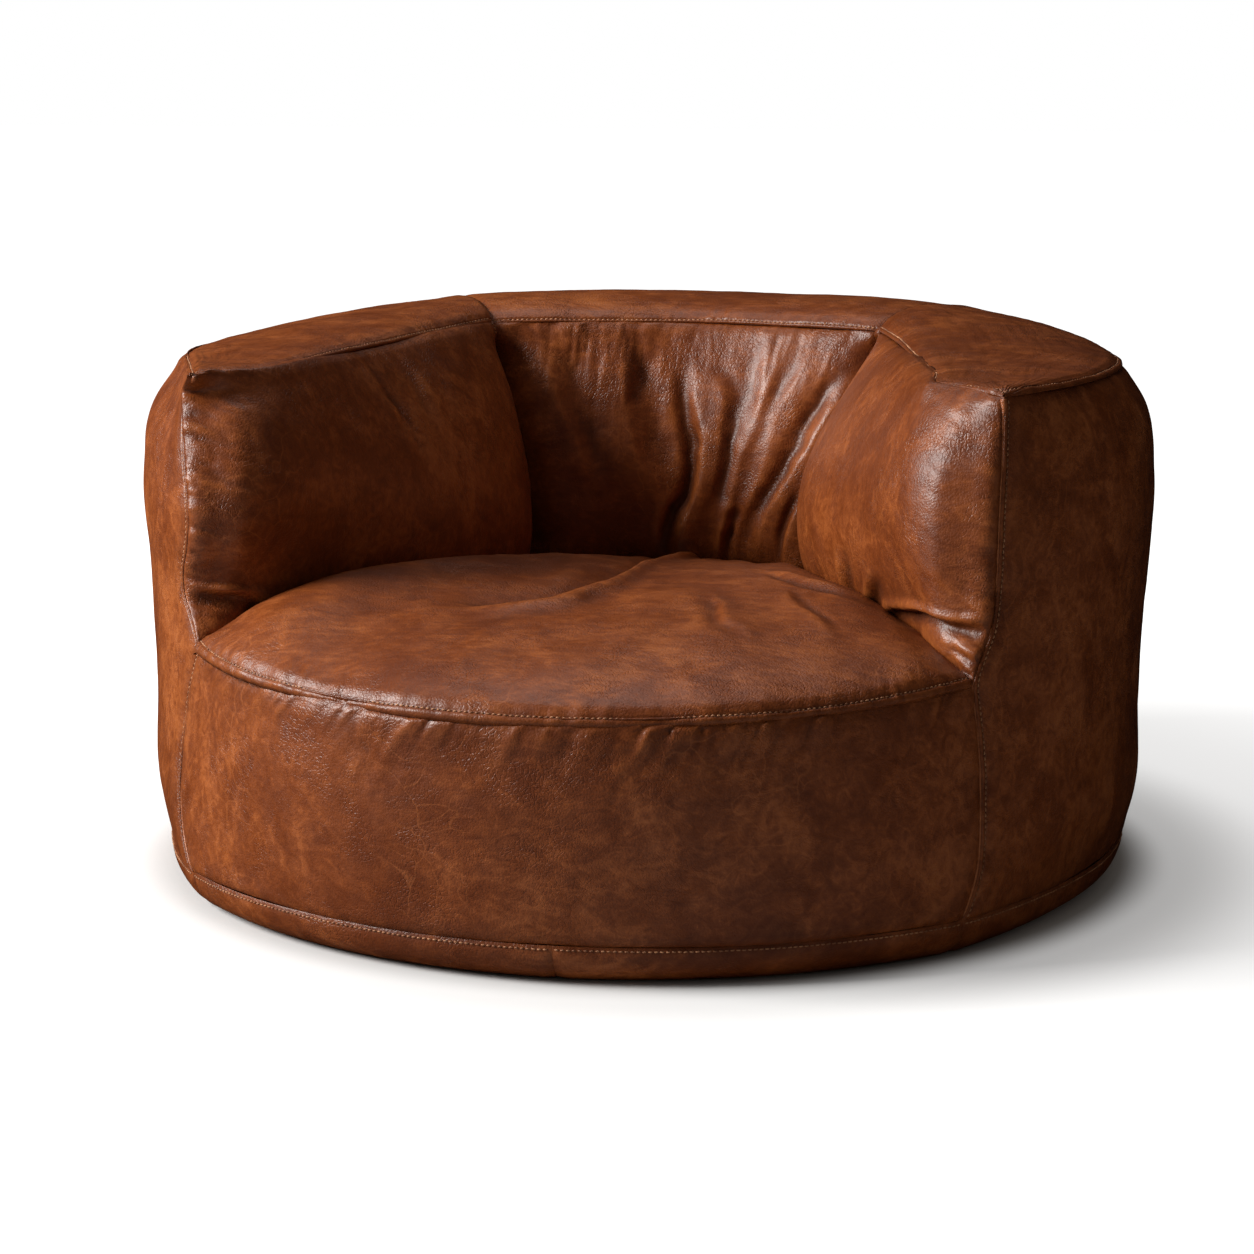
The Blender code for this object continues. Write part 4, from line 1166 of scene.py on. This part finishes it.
def make_thread():
    """Waxed twisted thread: brown, with a fine diagonal twist and a little colour drift."""
    made, tree, shader, place = new_paint("waxed_thread", 0.55)
    drift = ramp(tree, noise_of(tree, place, 45.0, 3.0), 0.35, 0.65)
    tree.links.new(blend(tree, drift, THREAD_DARK, THREAD_PALE), shader.inputs["Base Color"])
    waves = {"Vector": place, "Scale": 900.0, "Distortion": 1.0}
    twist = node(tree, "TexWave", waves, bands_direction="DIAGONAL").outputs[1]
    tree.links.new(bump_of(tree, twist, 0.6, 0.0002), shader.inputs["Normal"])
    return made


THREAD = make_thread()
print("thread:", THREAD.name)


# %% Swept rings
def ring_faces(rings, around, start=0):
    """Quads between rings of points, and quads that close the first and last ring."""
    index = np.arange(rings * around).reshape(rings, around) + start
    ahead = np.roll(index, -1, axis=1)
    tube = np.stack([index[:-1], ahead[:-1], ahead[1:], index[1:]], -1).reshape(-1, 4)
    k = np.arange(around // 2 - 1)
    cap = np.stack([k, k + 1, around - 2 - k, around - 1 - k], -1)
    return np.concatenate([tube, index[0][cap][:, ::-1], index[-1][cap]])


def spokes(across, up, turn):
    """Unit spokes round each point of a path: cosines of the turn across it, and sines up from it."""
    return across[:, None] * np.cos(turn)[None, :, None] + up[:, None] * np.sin(turn)[None, :, None]


def even_turn(sides):
    """The angles of a ring of evenly spaced points."""
    return np.arange(sides) * 2 * math.pi / sides


def line_beside(name, side, depth):
    """Points and normals on a panel at a distance from one of its sides, read between its rows."""
    panel = PANELS[name]
    axis = 0 if side in ("start", "end") else 1
    far, points, normals = (
        np.moveaxis(a, axis, 0)[:: -1 if side in ("end", "high") else 1]
        for a in (panel["lengths"][side], panel["points"], panel["normals"])
    )
    row = np.clip((far < depth).sum(axis=0), 1, len(far) - 1)
    column = np.arange(far.shape[1])
    low, high = far[row - 1, column], far[row, column]
    t = np.clip((depth - low) / np.maximum(high - low, 1e-9), 0, 1)[:, None]
    line = points[row - 1, column] * (1 - t) + points[row, column] * t
    return line, unit(normals[row - 1, column] * (1 - t) + normals[row, column] * t)


def resampled(line, up, pitch, margin=0.004):
    """Evenly spaced points, normals and directions along a line."""
    reach = np.concatenate([[0], np.cumsum(np.linalg.norm(np.diff(line, axis=0), axis=1))])
    at = np.arange(margin, reach[-1] - margin, pitch)

    def read(places, values):
        return np.stack([np.interp(places, reach, values[:, k]) for k in range(3)], -1)

    point, normal = read(at, line), read(at, up)
    ahead = unit(read(at + 0.001, line) - point)
    return point, unit(normal - (normal * ahead).sum(-1, keepdims=True) * ahead), ahead


STITCH_PITCH, STITCH_LENGTH, THREAD_R = 0.0054, 0.0037, 0.00075
STITCH_BOW, STITCH_SINK, STITCH_LEAN = 0.00085, 0.0001, 0.06
STITCH_RINGS = ((-1.0, 0.55), (-0.7, 0.95), (0.0, 1.0), (0.7, 0.95), (1.0, 0.55))
STITCH_SIDES = 6


def stitch_row(name, lines):
    """Rows of stitches: each a short capsule, bowed up in the middle so that its ends sink in."""
    rng = np.random.default_rng(len(name))
    along, share = np.array(STITCH_RINGS).T
    rows = [resampled(line, up, STITCH_PITCH) for line, up in lines]
    point, normal, ahead = (np.concatenate([r[k] for r in rows]) for k in range(3))
    across = np.cross(normal, ahead)
    lean = rng.normal(0, 0.05, len(point))[:, None]
    ahead = ahead + across * (lean + STITCH_LEAN)
    bow = STITCH_BOW * (1 - along**2) - STITCH_SINK
    centre = point[:, None] + normal[:, None] * bow[None, :, None]
    centre = centre + ahead[:, None] * (along * STITCH_LENGTH / 2)[None, :, None]
    spoke = spokes(across, normal, even_turn(STITCH_SIDES))
    points = centre[:, :, None] + spoke[:, None] * (THREAD_R * share)[None, :, None, None]
    starts = len(STITCH_RINGS) * STITCH_SIDES * np.arange(len(point))
    faces = (ring_faces(len(STITCH_RINGS), STITCH_SIDES)[None] + starts[:, None, None]).reshape(-1, 4)
    piece = polygon_mesh(name, points.reshape(-1, 3), faces)
    finish(piece, THREAD)
    print(f"{name}: {len(point)} stitches")


# Each row: its name, and the panel, side and distance of each line it follows.
STITCH_ROWS = {
    "seat": (("seat_leather", "low", 0.0087),),
    "arm_left": (("outer_leather_left", "start", 0.0053),),
    "arm_right": (("outer_leather_right", "start", 0.0053),),
    "top_outside": [(f"top_leather_{k}", "low", 0.0062) for k in ("left", "back", "right")],
    "top_inside": (
        ("top_leather_left", "high", 0.0052),
        ("top_leather_back", "high", 0.0037),
        ("top_leather_right", "high", 0.0052),
    ),
    "base": [(f"base_leather_{k}", "low", 0.0035) for k in BAND_JOINTS],
    "back_valley": [(f"arm_leather_{k}", "end", 0.006) for k in ("right", "left")],
}
for row_name, row_lines in STITCH_ROWS.items():
    stitch_row(f"stitches_{row_name}", [line_beside(*row) for row in row_lines])


# %% Rolled edges at the arm fronts
ROLL_R, ROLL_SINK, ROLL_SIDES = 0.00155, 0.0006, 10


def rolled_edge(side, name):
    """A roll along the arm's front seam: ten-sided rings, thin at the foot and swollen at the top."""
    line, up = line_beside(f"outer_leather_{name}", "start", 0.0)
    point, normal, ahead = resampled(line, up, 0.003, 0.0002)
    across = np.cross(normal, ahead)
    at = np.linspace(0, 1, len(point))
    swell = ROLL_R + 0.00018 * noise(at * 0.5, 0.0 * at, 0.02, 5 + side)
    ends = np.clip(at * 60, 0.25, 1) * (1 + 0.9 * smooth(at, 0.965, 0.99))
    turn = even_turn(ROLL_SIDES)
    points = point[:, None] - normal[:, None] * ROLL_SINK
    points = points + spokes(across, normal, turn) * (swell * ends)[:, None, None]
    piece = polygon_mesh(f"rolled_edge_{name}", points.reshape(-1, 3), ring_faces(len(point), ROLL_SIDES))
    add_value(piece, "ridge", 0.6 + 0.4 * np.tile(np.sin(turn), len(point)))
    finish(piece, LEATHER_EDGE, f"arm_welt_{name}")
    print(f"rolled edge {name}: {len(point)} rings")


for side, name in HANDS:
    rolled_edge(side, name)

# %% [markdown]
# ## The bags inside
# Under the leather are two closed cotton bags of beads, a drum for the seat and a C-shaped
# bolster for the arms and back. They are not seen in use, but they fill the cover. Each bag is
# its own smooth form, a little smaller than the leather, with the bead mass inside it.

# %% Cloth and bead materials
def make_weave():
    """Plain weave: two crossed waves, one over the other in turn, with uneven threads."""
    tree, take, give = new_group(
        "plain_weave",
        [("Vector", "Vector", None), ("Threads", "Float", 1200.0), ("Uneven", "Float", 0.3)],
        [("Height", "Float"), ("Drift", "Float")],
    )
    parts = node(tree, "SeparateXYZ", {0: take["Vector"]}).outputs
    level = maths(tree, "ADD", parts[0], maths(tree, "MULTIPLY", parts[2], 0.37))
    other = maths(tree, "ADD", parts[1], maths(tree, "MULTIPLY", parts[2], 0.61))
    warp = maths(tree, "SINE", maths(tree, "MULTIPLY", level, take["Threads"]))
    weft = maths(tree, "SINE", maths(tree, "MULTIPLY", other, take["Threads"]))
    crossing = maths(tree, "MULTIPLY", warp, weft)
    slub = noise_of(tree, take["Vector"], 90.0, 4.0)
    thick = maths(tree, "MULTIPLY", slub, take["Uneven"])
    height = maths(tree, "MULTIPLY_ADD", thick, 2.0, maths(tree, "ABSOLUTE", crossing))
    tree.links.new(height, give["Height"])
    tree.links.new(slub, give["Drift"])
    return tree


WEAVE = make_weave()


def make_cloth(name, dark, light, threads, rough):
    """Woven cloth in two tones of one colour: darker where the weave lies low, as painted shade, and
    drifting at random with the uneven threads.
    """
    made, tree, shader, place = new_paint(name, rough)
    woven = use_group(tree, WEAVE, {"Vector": place, "Threads": threads, "Uneven": 0.35})
    # Painted shade where the weave lies low, and a random drift of tone.
    shade = maths(tree, "MULTIPLY_ADD", woven["Height"], 0.45, maths(tree, "MULTIPLY", woven["Drift"], 0.5))
    colour = blend(tree, ramp(tree, shade, 0.2, 1.0), (*dark, 1), (*light, 1))
    tree.links.new(colour, shader.inputs["Base Color"])
    tree.links.new(bump_of(tree, woven["Height"], 0.6, 0.0003), shader.inputs["Normal"])
    return made


def make_beads():
    """Packed white beads, three or four millimetres across, with painted shade greying the gaps between
    them.
    """
    made, tree, shader, place = new_paint("packed_beads", 0.7)
    away = node(tree, "TexVoronoi", {"Vector": place, "Scale": 280.0}).outputs[0]
    # Painted shade: the colour greys from each bead's middle out to the gaps between beads.
    colour = blend(tree, ramp(tree, away, 0.2, 0.8), (0.85, 0.85, 0.83, 1), (0.42, 0.42, 0.40, 1))
    tree.links.new(colour, shader.inputs["Base Color"])
    tree.links.new(bump_of(tree, maths(tree, "SUBTRACT", 1.0, away), 1.0, 0.0015), shader.inputs["Normal"])
    return made


LINER_CLOTH = make_cloth("bag_cotton", (0.45, 0.42, 0.36), (0.70, 0.67, 0.60), 2600.0, 0.9)
BEADS = make_beads()
print("bag materials:", LINER_CLOTH.name, BEADS.name)


# %% Bag shapes
def shrunk(form, inset):
    """A closed form of rings moved in by inset, square to itself, then evened out round each ring."""
    ring_way = np.gradient(form, axis=0)
    round_way = np.roll(form, -1, axis=1) - np.roll(form, 1, axis=1)
    normal = unit(np.cross(round_way, ring_way))
    faces = ring_faces(*form.shape[:2])
    form = form - normal * inset * np.sign(enclosed(form.reshape(-1, 3), faces))
    for _ in range(4):
        form = 0.5 * form + 0.25 * (np.roll(form, 1, axis=1) + np.roll(form, -1, axis=1))
    return form


SHELF_Z, CAP_LENGTH = 0.268, 0.010
CAP_TURNS = (1.5, 1.2, 0.8, 0.4)


def bolster_form(inset):
    """One ring of points for each place from the left arm round the back to the right arm: up the
    outer wall, over the band, down the inner face, and back out along the shelf on the seat bag.
    The inner face keeps out of the valleys beside the back, and both ends are rounded off."""
    up = np.linspace(0, 1, 17)[None]
    reach = np.linspace(0, 1, 14)[None, 1:]
    shelf_up = (SHELF_Z - WALL_LOW) / (WALL_HIGH - WALL_LOW)
    out = np.linspace(0, 1, 9)[None, 1:-1, None]
    rings = []
    left, across_back = np.linspace(0.1, 1, 50), np.linspace(0, 1, 44)[1:-1]
    for side, along in ((-1, left), (0, across_back), (1, left[::-1])):
        u = along[:, None]
        rows, columns = u + 0 * up, u + 0 * reach
        if side:
            wall = wall_surface(side, rows, shelf_up + (1 - shelf_up) * up + 0 * u)
            band = arm_band_surface(side, columns, reach + 0 * u)
            face = arm_surface(side, columns, 0.96 * reach + 0 * u)
        else:
            wall = back_wall_surface(rows, shelf_up + (1 - shelf_up) * up + 0 * u)
            band = back_band_surface(columns, reach + 0 * u)
            face = back_surface(columns, 0.96 * reach + 0 * u)
        shelf = face[:, -1:] + (wall[:, :1] - face[:, -1:]) * out
        from_seam = 0.5 * (np.minimum(u, 1 - u) if side == 0 else 1 - u)
        gone = 0.042 * np.exp(-((from_seam / 0.024) ** 1.5)) * smooth(reach, 0.0, 0.15)
        face[..., :2] += unit(face[..., :2] - SEAT_MIDDLE) * gone[..., None]
        rings.append(np.concatenate([wall, band, face, shelf], axis=1))
    form = shrunk(np.concatenate(rings), inset)
    for _ in range(2):
        middle = form[0].mean(axis=0)
        past_end = unit((form[0] - form[1]).mean(axis=0)) * CAP_LENGTH
        caps = [middle + (form[0] - middle) * math.cos(a) + past_end * math.sin(a) for a in CAP_TURNS]
        form = np.concatenate([np.stack(caps), form])[::-1]
    return form


SEAT_BAG_FLOOR = (
    (0.004, 0.0065), (0.15, 0.0065), (0.30, 0.0065), (0.42, 0.0065), (0.470, 0.0068), (0.495, 0.012),
    (0.512, 0.030),
)
SEAT_BAG_WALL = ((0.519, 0.060), (0.519, 0.100), (0.518, 0.150), (0.516, 0.200), (0.510, 0.232))
CREASE_ANGLE = (0, 20, 40, 49, 54.9, 64.6, 78, 104.7, 131, 153.7, 180)
CREASE_R = (0.506, 0.505, 0.500, 0.484, 0.400, 0.296, 0.215, 0.177, 0.212, 0.202, 0.199)
CREASE_Z = (0.236, 0.237, 0.242, 0.250, 0.262, 0.277, 0.284, 0.284, 0.283, 0.283, 0.283)
DOME_Z = 0.306
DOME_RINGS = (1.0, 0.97, 0.9, 0.8, 0.65, 0.5, 0.35, 0.2, 0.1, 0.01)


def seat_form(inset):
    """A drum of rings: out along the floor, up the wall, in along the shelf, and over the domed seat."""
    angle = 3.0 * np.arange(120) - 180.0
    crease = np.stack([eased(np.abs(angle), CREASE_ANGLE, row) for row in (CREASE_R, CREASE_Z)], -1)
    drum = np.array(SEAT_BAG_FLOOR + SEAT_BAG_WALL)
    rings = [np.broadcast_to(row, crease.shape) for row in drum]
    dent = 0.016 * np.exp(-(((np.abs(angle) - 49) / 14) ** 2))
    rings = [r - np.stack([dent * smooth(r[0, 1], 0.05, 0.2), 0 * dent], -1) for r in rings]
    rings += [drum[-1] + (crease - drum[-1]) * t for t in (0.15, 0.4, 0.7)]
    for s in DOME_RINGS:
        rings.append(np.stack([crease[:, 0] * s, crease[:, 1] + (DOME_Z - crease[:, 1]) * (1 - s**3.2)], -1))
    profile = np.stack(rings)
    return shrunk(on_circle(profile[..., 0], angle[None], profile[..., 1]), inset)


def settled(form, seed):
    """Beads settle unevenly: every point moves up to a little towards its ring's middle, by noise."""
    way = unit(form - form.mean(axis=1, keepdims=True))
    lift = 0.0016 * noise(form[..., 0] + 0.7 * form[..., 2], form[..., 1] - 0.5 * form[..., 2], 0.05, seed)
    return form + way * np.minimum(lift, 0)[..., None]


BAG_INSETS = (0.0160, 0.0168, 0.0180)  # the cloth's outside and inside, and the beads


def add_bag(name, make_form, seed):
    """The cotton bag, an outer and an inner skin 0.8 mm apart, and the bead mass inside it."""
    outer, inner, mass = (settled(make_form(inset), seed) for inset in BAG_INSETS)
    faces = ring_faces(*outer.shape[:2])
    both = np.concatenate([outer.reshape(-1, 3), inner.reshape(-1, 3)])
    bag = polygon_mesh(f"{name}_bag", both, np.concatenate([faces, faces[:, ::-1] + outer.size // 3]))
    beads = polygon_mesh(f"{name}_beads", mass.reshape(-1, 3), faces)
    finish(bag, LINER_CLOTH, f"{name}_liner")
    finish(beads, BEADS, f"{name}_bead_fill")
    print(f"{name} bag: {outer.shape[0]} rings of {outer.shape[1]}")


add_bag("bolster", bolster_form, 121)
add_bag("seat", seat_form, 122)

# %% [markdown]
# ## Underside
# A tough woven base cloth closes the chair from below, in two halves joined by a zip, so that the
# bead bags can be taken out. The zip has woven tapes, two rows of nylon coil and a metal slider.

# %% Base cloth
CLOTH_R, CLOTH_SLOT, CLOTH_EDGE, CLOTH_THICK, CLOTH_TOP = 0.470, 0.0075, 0.458, 0.0008, 0.0025
BASE_CLOTH = make_cloth("base_twill", (0.014, 0.010, 0.008), (0.060, 0.045, 0.036), 3900.0, 0.85)


def half_disc(side):
    """One half of the base cloth: rows across the disc from the zip outwards, each as wide as the
    disc is there, sagging a little where the cloth is slack."""
    u = np.linspace(-1, 1, 150)[:, None]
    v = np.linspace(0, 1, 90)[None] ** 0.9
    y = CLOTH_SLOT + (CLOTH_EDGE - CLOTH_SLOT) * v
    x = u * np.sqrt(CLOTH_R**2 - y**2)
    free = np.clip((0.452 - np.hypot(x, y)) / 0.03, 0, 1)
    slack = 0.00035 * (1 + noise(x, y + 0 * x, 0.07, 131 + side)) * free
    return np.stack([x, side * y + 0 * x, CLOTH_TOP - slack], -1)


for side, name in ((-1, "front"), (1, "rear")):
    top = half_disc(side)
    cloth = closed_shell(f"base_twill_{name}", top, top - np.array([0, 0, CLOTH_THICK]))
    finish(cloth, BASE_CLOTH, f"base_cloth_{name}")
    print(f"base cloth {name}: {top.shape[0]} by {top.shape[1]} points")


# %% Zip
def make_metal():
    """Plated metal, brushed by use: a grey with warm smudges and fine scratches."""
    made, tree, shader, place = new_paint("plated_metal")
    smudge = noise_of(tree, place, 300.0, 4.0)
    scratch = noise_of(tree, turned_by(tree, place, (0, 0, 0), (1, 12, 4)), 900.0, 3.0)
    colour = blend(tree, smudge, (0.32, 0.28, 0.23, 1), (0.55, 0.52, 0.47, 1))
    tree.links.new(colour, shader.inputs["Base Color"])
    tree.links.new(maths(tree, "MULTIPLY_ADD", scratch, 0.3, 0.2), shader.inputs["Roughness"])
    tree.links.new(bump_of(tree, scratch, 0.2, 0.0001), shader.inputs["Normal"])
    shader.inputs["Metallic"].default_value = 1.0
    return made


def make_nylon():
    """Dark nylon with a soft shine and slightly uneven dye."""
    made, tree, shader, place = new_paint("zip_coil_nylon")
    drift = noise_of(tree, place, 160.0, 3.0)
    colour = blend(tree, drift, (0.020, 0.012, 0.008, 1), (0.055, 0.034, 0.024, 1))
    tree.links.new(colour, shader.inputs["Base Color"])
    tree.links.new(maths(tree, "MULTIPLY_ADD", drift, 0.2, 0.28), shader.inputs["Roughness"])
    return made


def repaint(names, paint):
    """Give carried-over nodes a finished material."""
    for name in names:
        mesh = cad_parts[name].data
        mesh.materials.clear()
        mesh.materials.append(paint)


METAL, NYLON = make_metal(), make_nylon()
COIL_PITCH, WIRE_R, WIRE_SIDES, TURN_POINTS = 0.002, 0.00032, 6, 8
ZIP_TAPE = make_cloth("zip_tape_weave", (0.016, 0.010, 0.007), (0.075, 0.050, 0.036), 6200.0, 0.8)
HOOK_LOOP = make_cloth("hook_and_loop_pile", (0.010, 0.010, 0.010), (0.10, 0.10, 0.10), 4200.0, 0.95)
repaint(("zip_tape_front", "zip_tape_rear"), ZIP_TAPE)
repaint(("zip_top_stop", "zip_bottom_stop"), METAL)
repaint([f"{bag}_liner_{part}_strip" for bag in ("seat", "bolster") for part in ("hook", "loop")], HOOK_LOOP)
print("zip and strip materials:", METAL.name, NYLON.name, ZIP_TAPE.name, HOOK_LOOP.name)


def coil_row(name):
    """A flattened spring beside the zip's middle: a turn every 2 mm, swept as a six-sided wire."""
    low, high = (np.array(corner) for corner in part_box(f"zip_coil_{name}"))
    turns = int((high[0] - low[0]) / COIL_PITCH)
    t = np.linspace(0, turns, turns * TURN_POINTS + 1)
    middle, half = (low + high) / 2, (high - low) / 2 - WIRE_R
    x = low[0] + WIRE_R + 2 * half[0] * t / turns
    y = middle[1] + half[1] * np.cos(2 * math.pi * t)
    path = np.stack([x, y, middle[2] + half[2] * np.sin(2 * math.pi * t)], -1)
    ahead = unit(np.gradient(path, axis=0))
    across = unit(np.cross(ahead, [1.0, 0.0, 0.0]))
    points = path[:, None] + WIRE_R * spokes(across, np.cross(ahead, across), even_turn(WIRE_SIDES))
    piece = polygon_mesh(f"nylon_coil_{name}", points.reshape(-1, 3), ring_faces(len(path), WIRE_SIDES))
    finish(piece, NYLON, f"zip_coil_{name}")
    print(f"nylon coil {name}: {turns} turns")


coil_row("front")
coil_row("rear")


# %% Zip slider
PLATE_SIDES, PLATE_THICK = 32, 0.0009
# Each ring's share of the plate's size, and of its height.
PLATE_RINGS = ((0.3, 0), (0.9, 0), (1.0, 0.25), (1.0, 0.75), (0.9, 1), (0.3, 1))
POST_BACK, POST_FRONT, POST_HALF = 0.004, 0.0012, 0.0004


def slider_plate(low, high, z_low, z_high):
    """A rounded plate: rings of a heart-like outline, narrower at one end, with softened edges."""
    turn = even_turn(PLATE_SIDES)
    low, high = np.array(low[:2]), np.array(high[:2])
    middle, half = (low + high) / 2, (high - low) / 2
    x = np.sign(np.cos(turn)) * np.abs(np.cos(turn)) ** 0.55
    y = np.sign(np.sin(turn)) * np.abs(np.sin(turn)) ** 0.7 * (0.86 + 0.14 * x)
    shape = np.stack([middle[0] + half[0] * x, middle[1] + half[1] * y], -1)
    centre = shape.mean(axis=0)
    rings = []
    for share, rise in PLATE_RINGS:
        height = np.full((PLATE_SIDES, 1), z_low + (z_high - z_low) * rise)
        rings.append(np.concatenate([centre + (shape - centre) * share, height], -1))
    return np.stack(rings)


def add_slider():
    """Two plates joined by a post, which run over the coils."""
    low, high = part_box("zip_slider")
    under = slider_plate(low, high, low[2], low[2] + PLATE_THICK)
    over = slider_plate(low, high, high[2] - PLATE_THICK, high[2])
    post = slider_plate(
        (high[0] - POST_BACK, -POST_HALF), (high[0] - POST_FRONT, POST_HALF),
        low[2] + PLATE_THICK / 2, high[2] - PLATE_THICK / 2,
    )
    count = len(PLATE_RINGS) * PLATE_SIDES
    points = np.concatenate([plate.reshape(-1, 3) for plate in (under, over, post)])
    one = ring_faces(len(PLATE_RINGS), PLATE_SIDES)
    piece = polygon_mesh("slider_body", points, np.concatenate([one + k * count for k in range(3)]))
    finish(piece, METAL, "zip_slider", "slider")
    print("slider:", np.round(np.array(high) - np.array(low), 4).tolist())


add_slider()
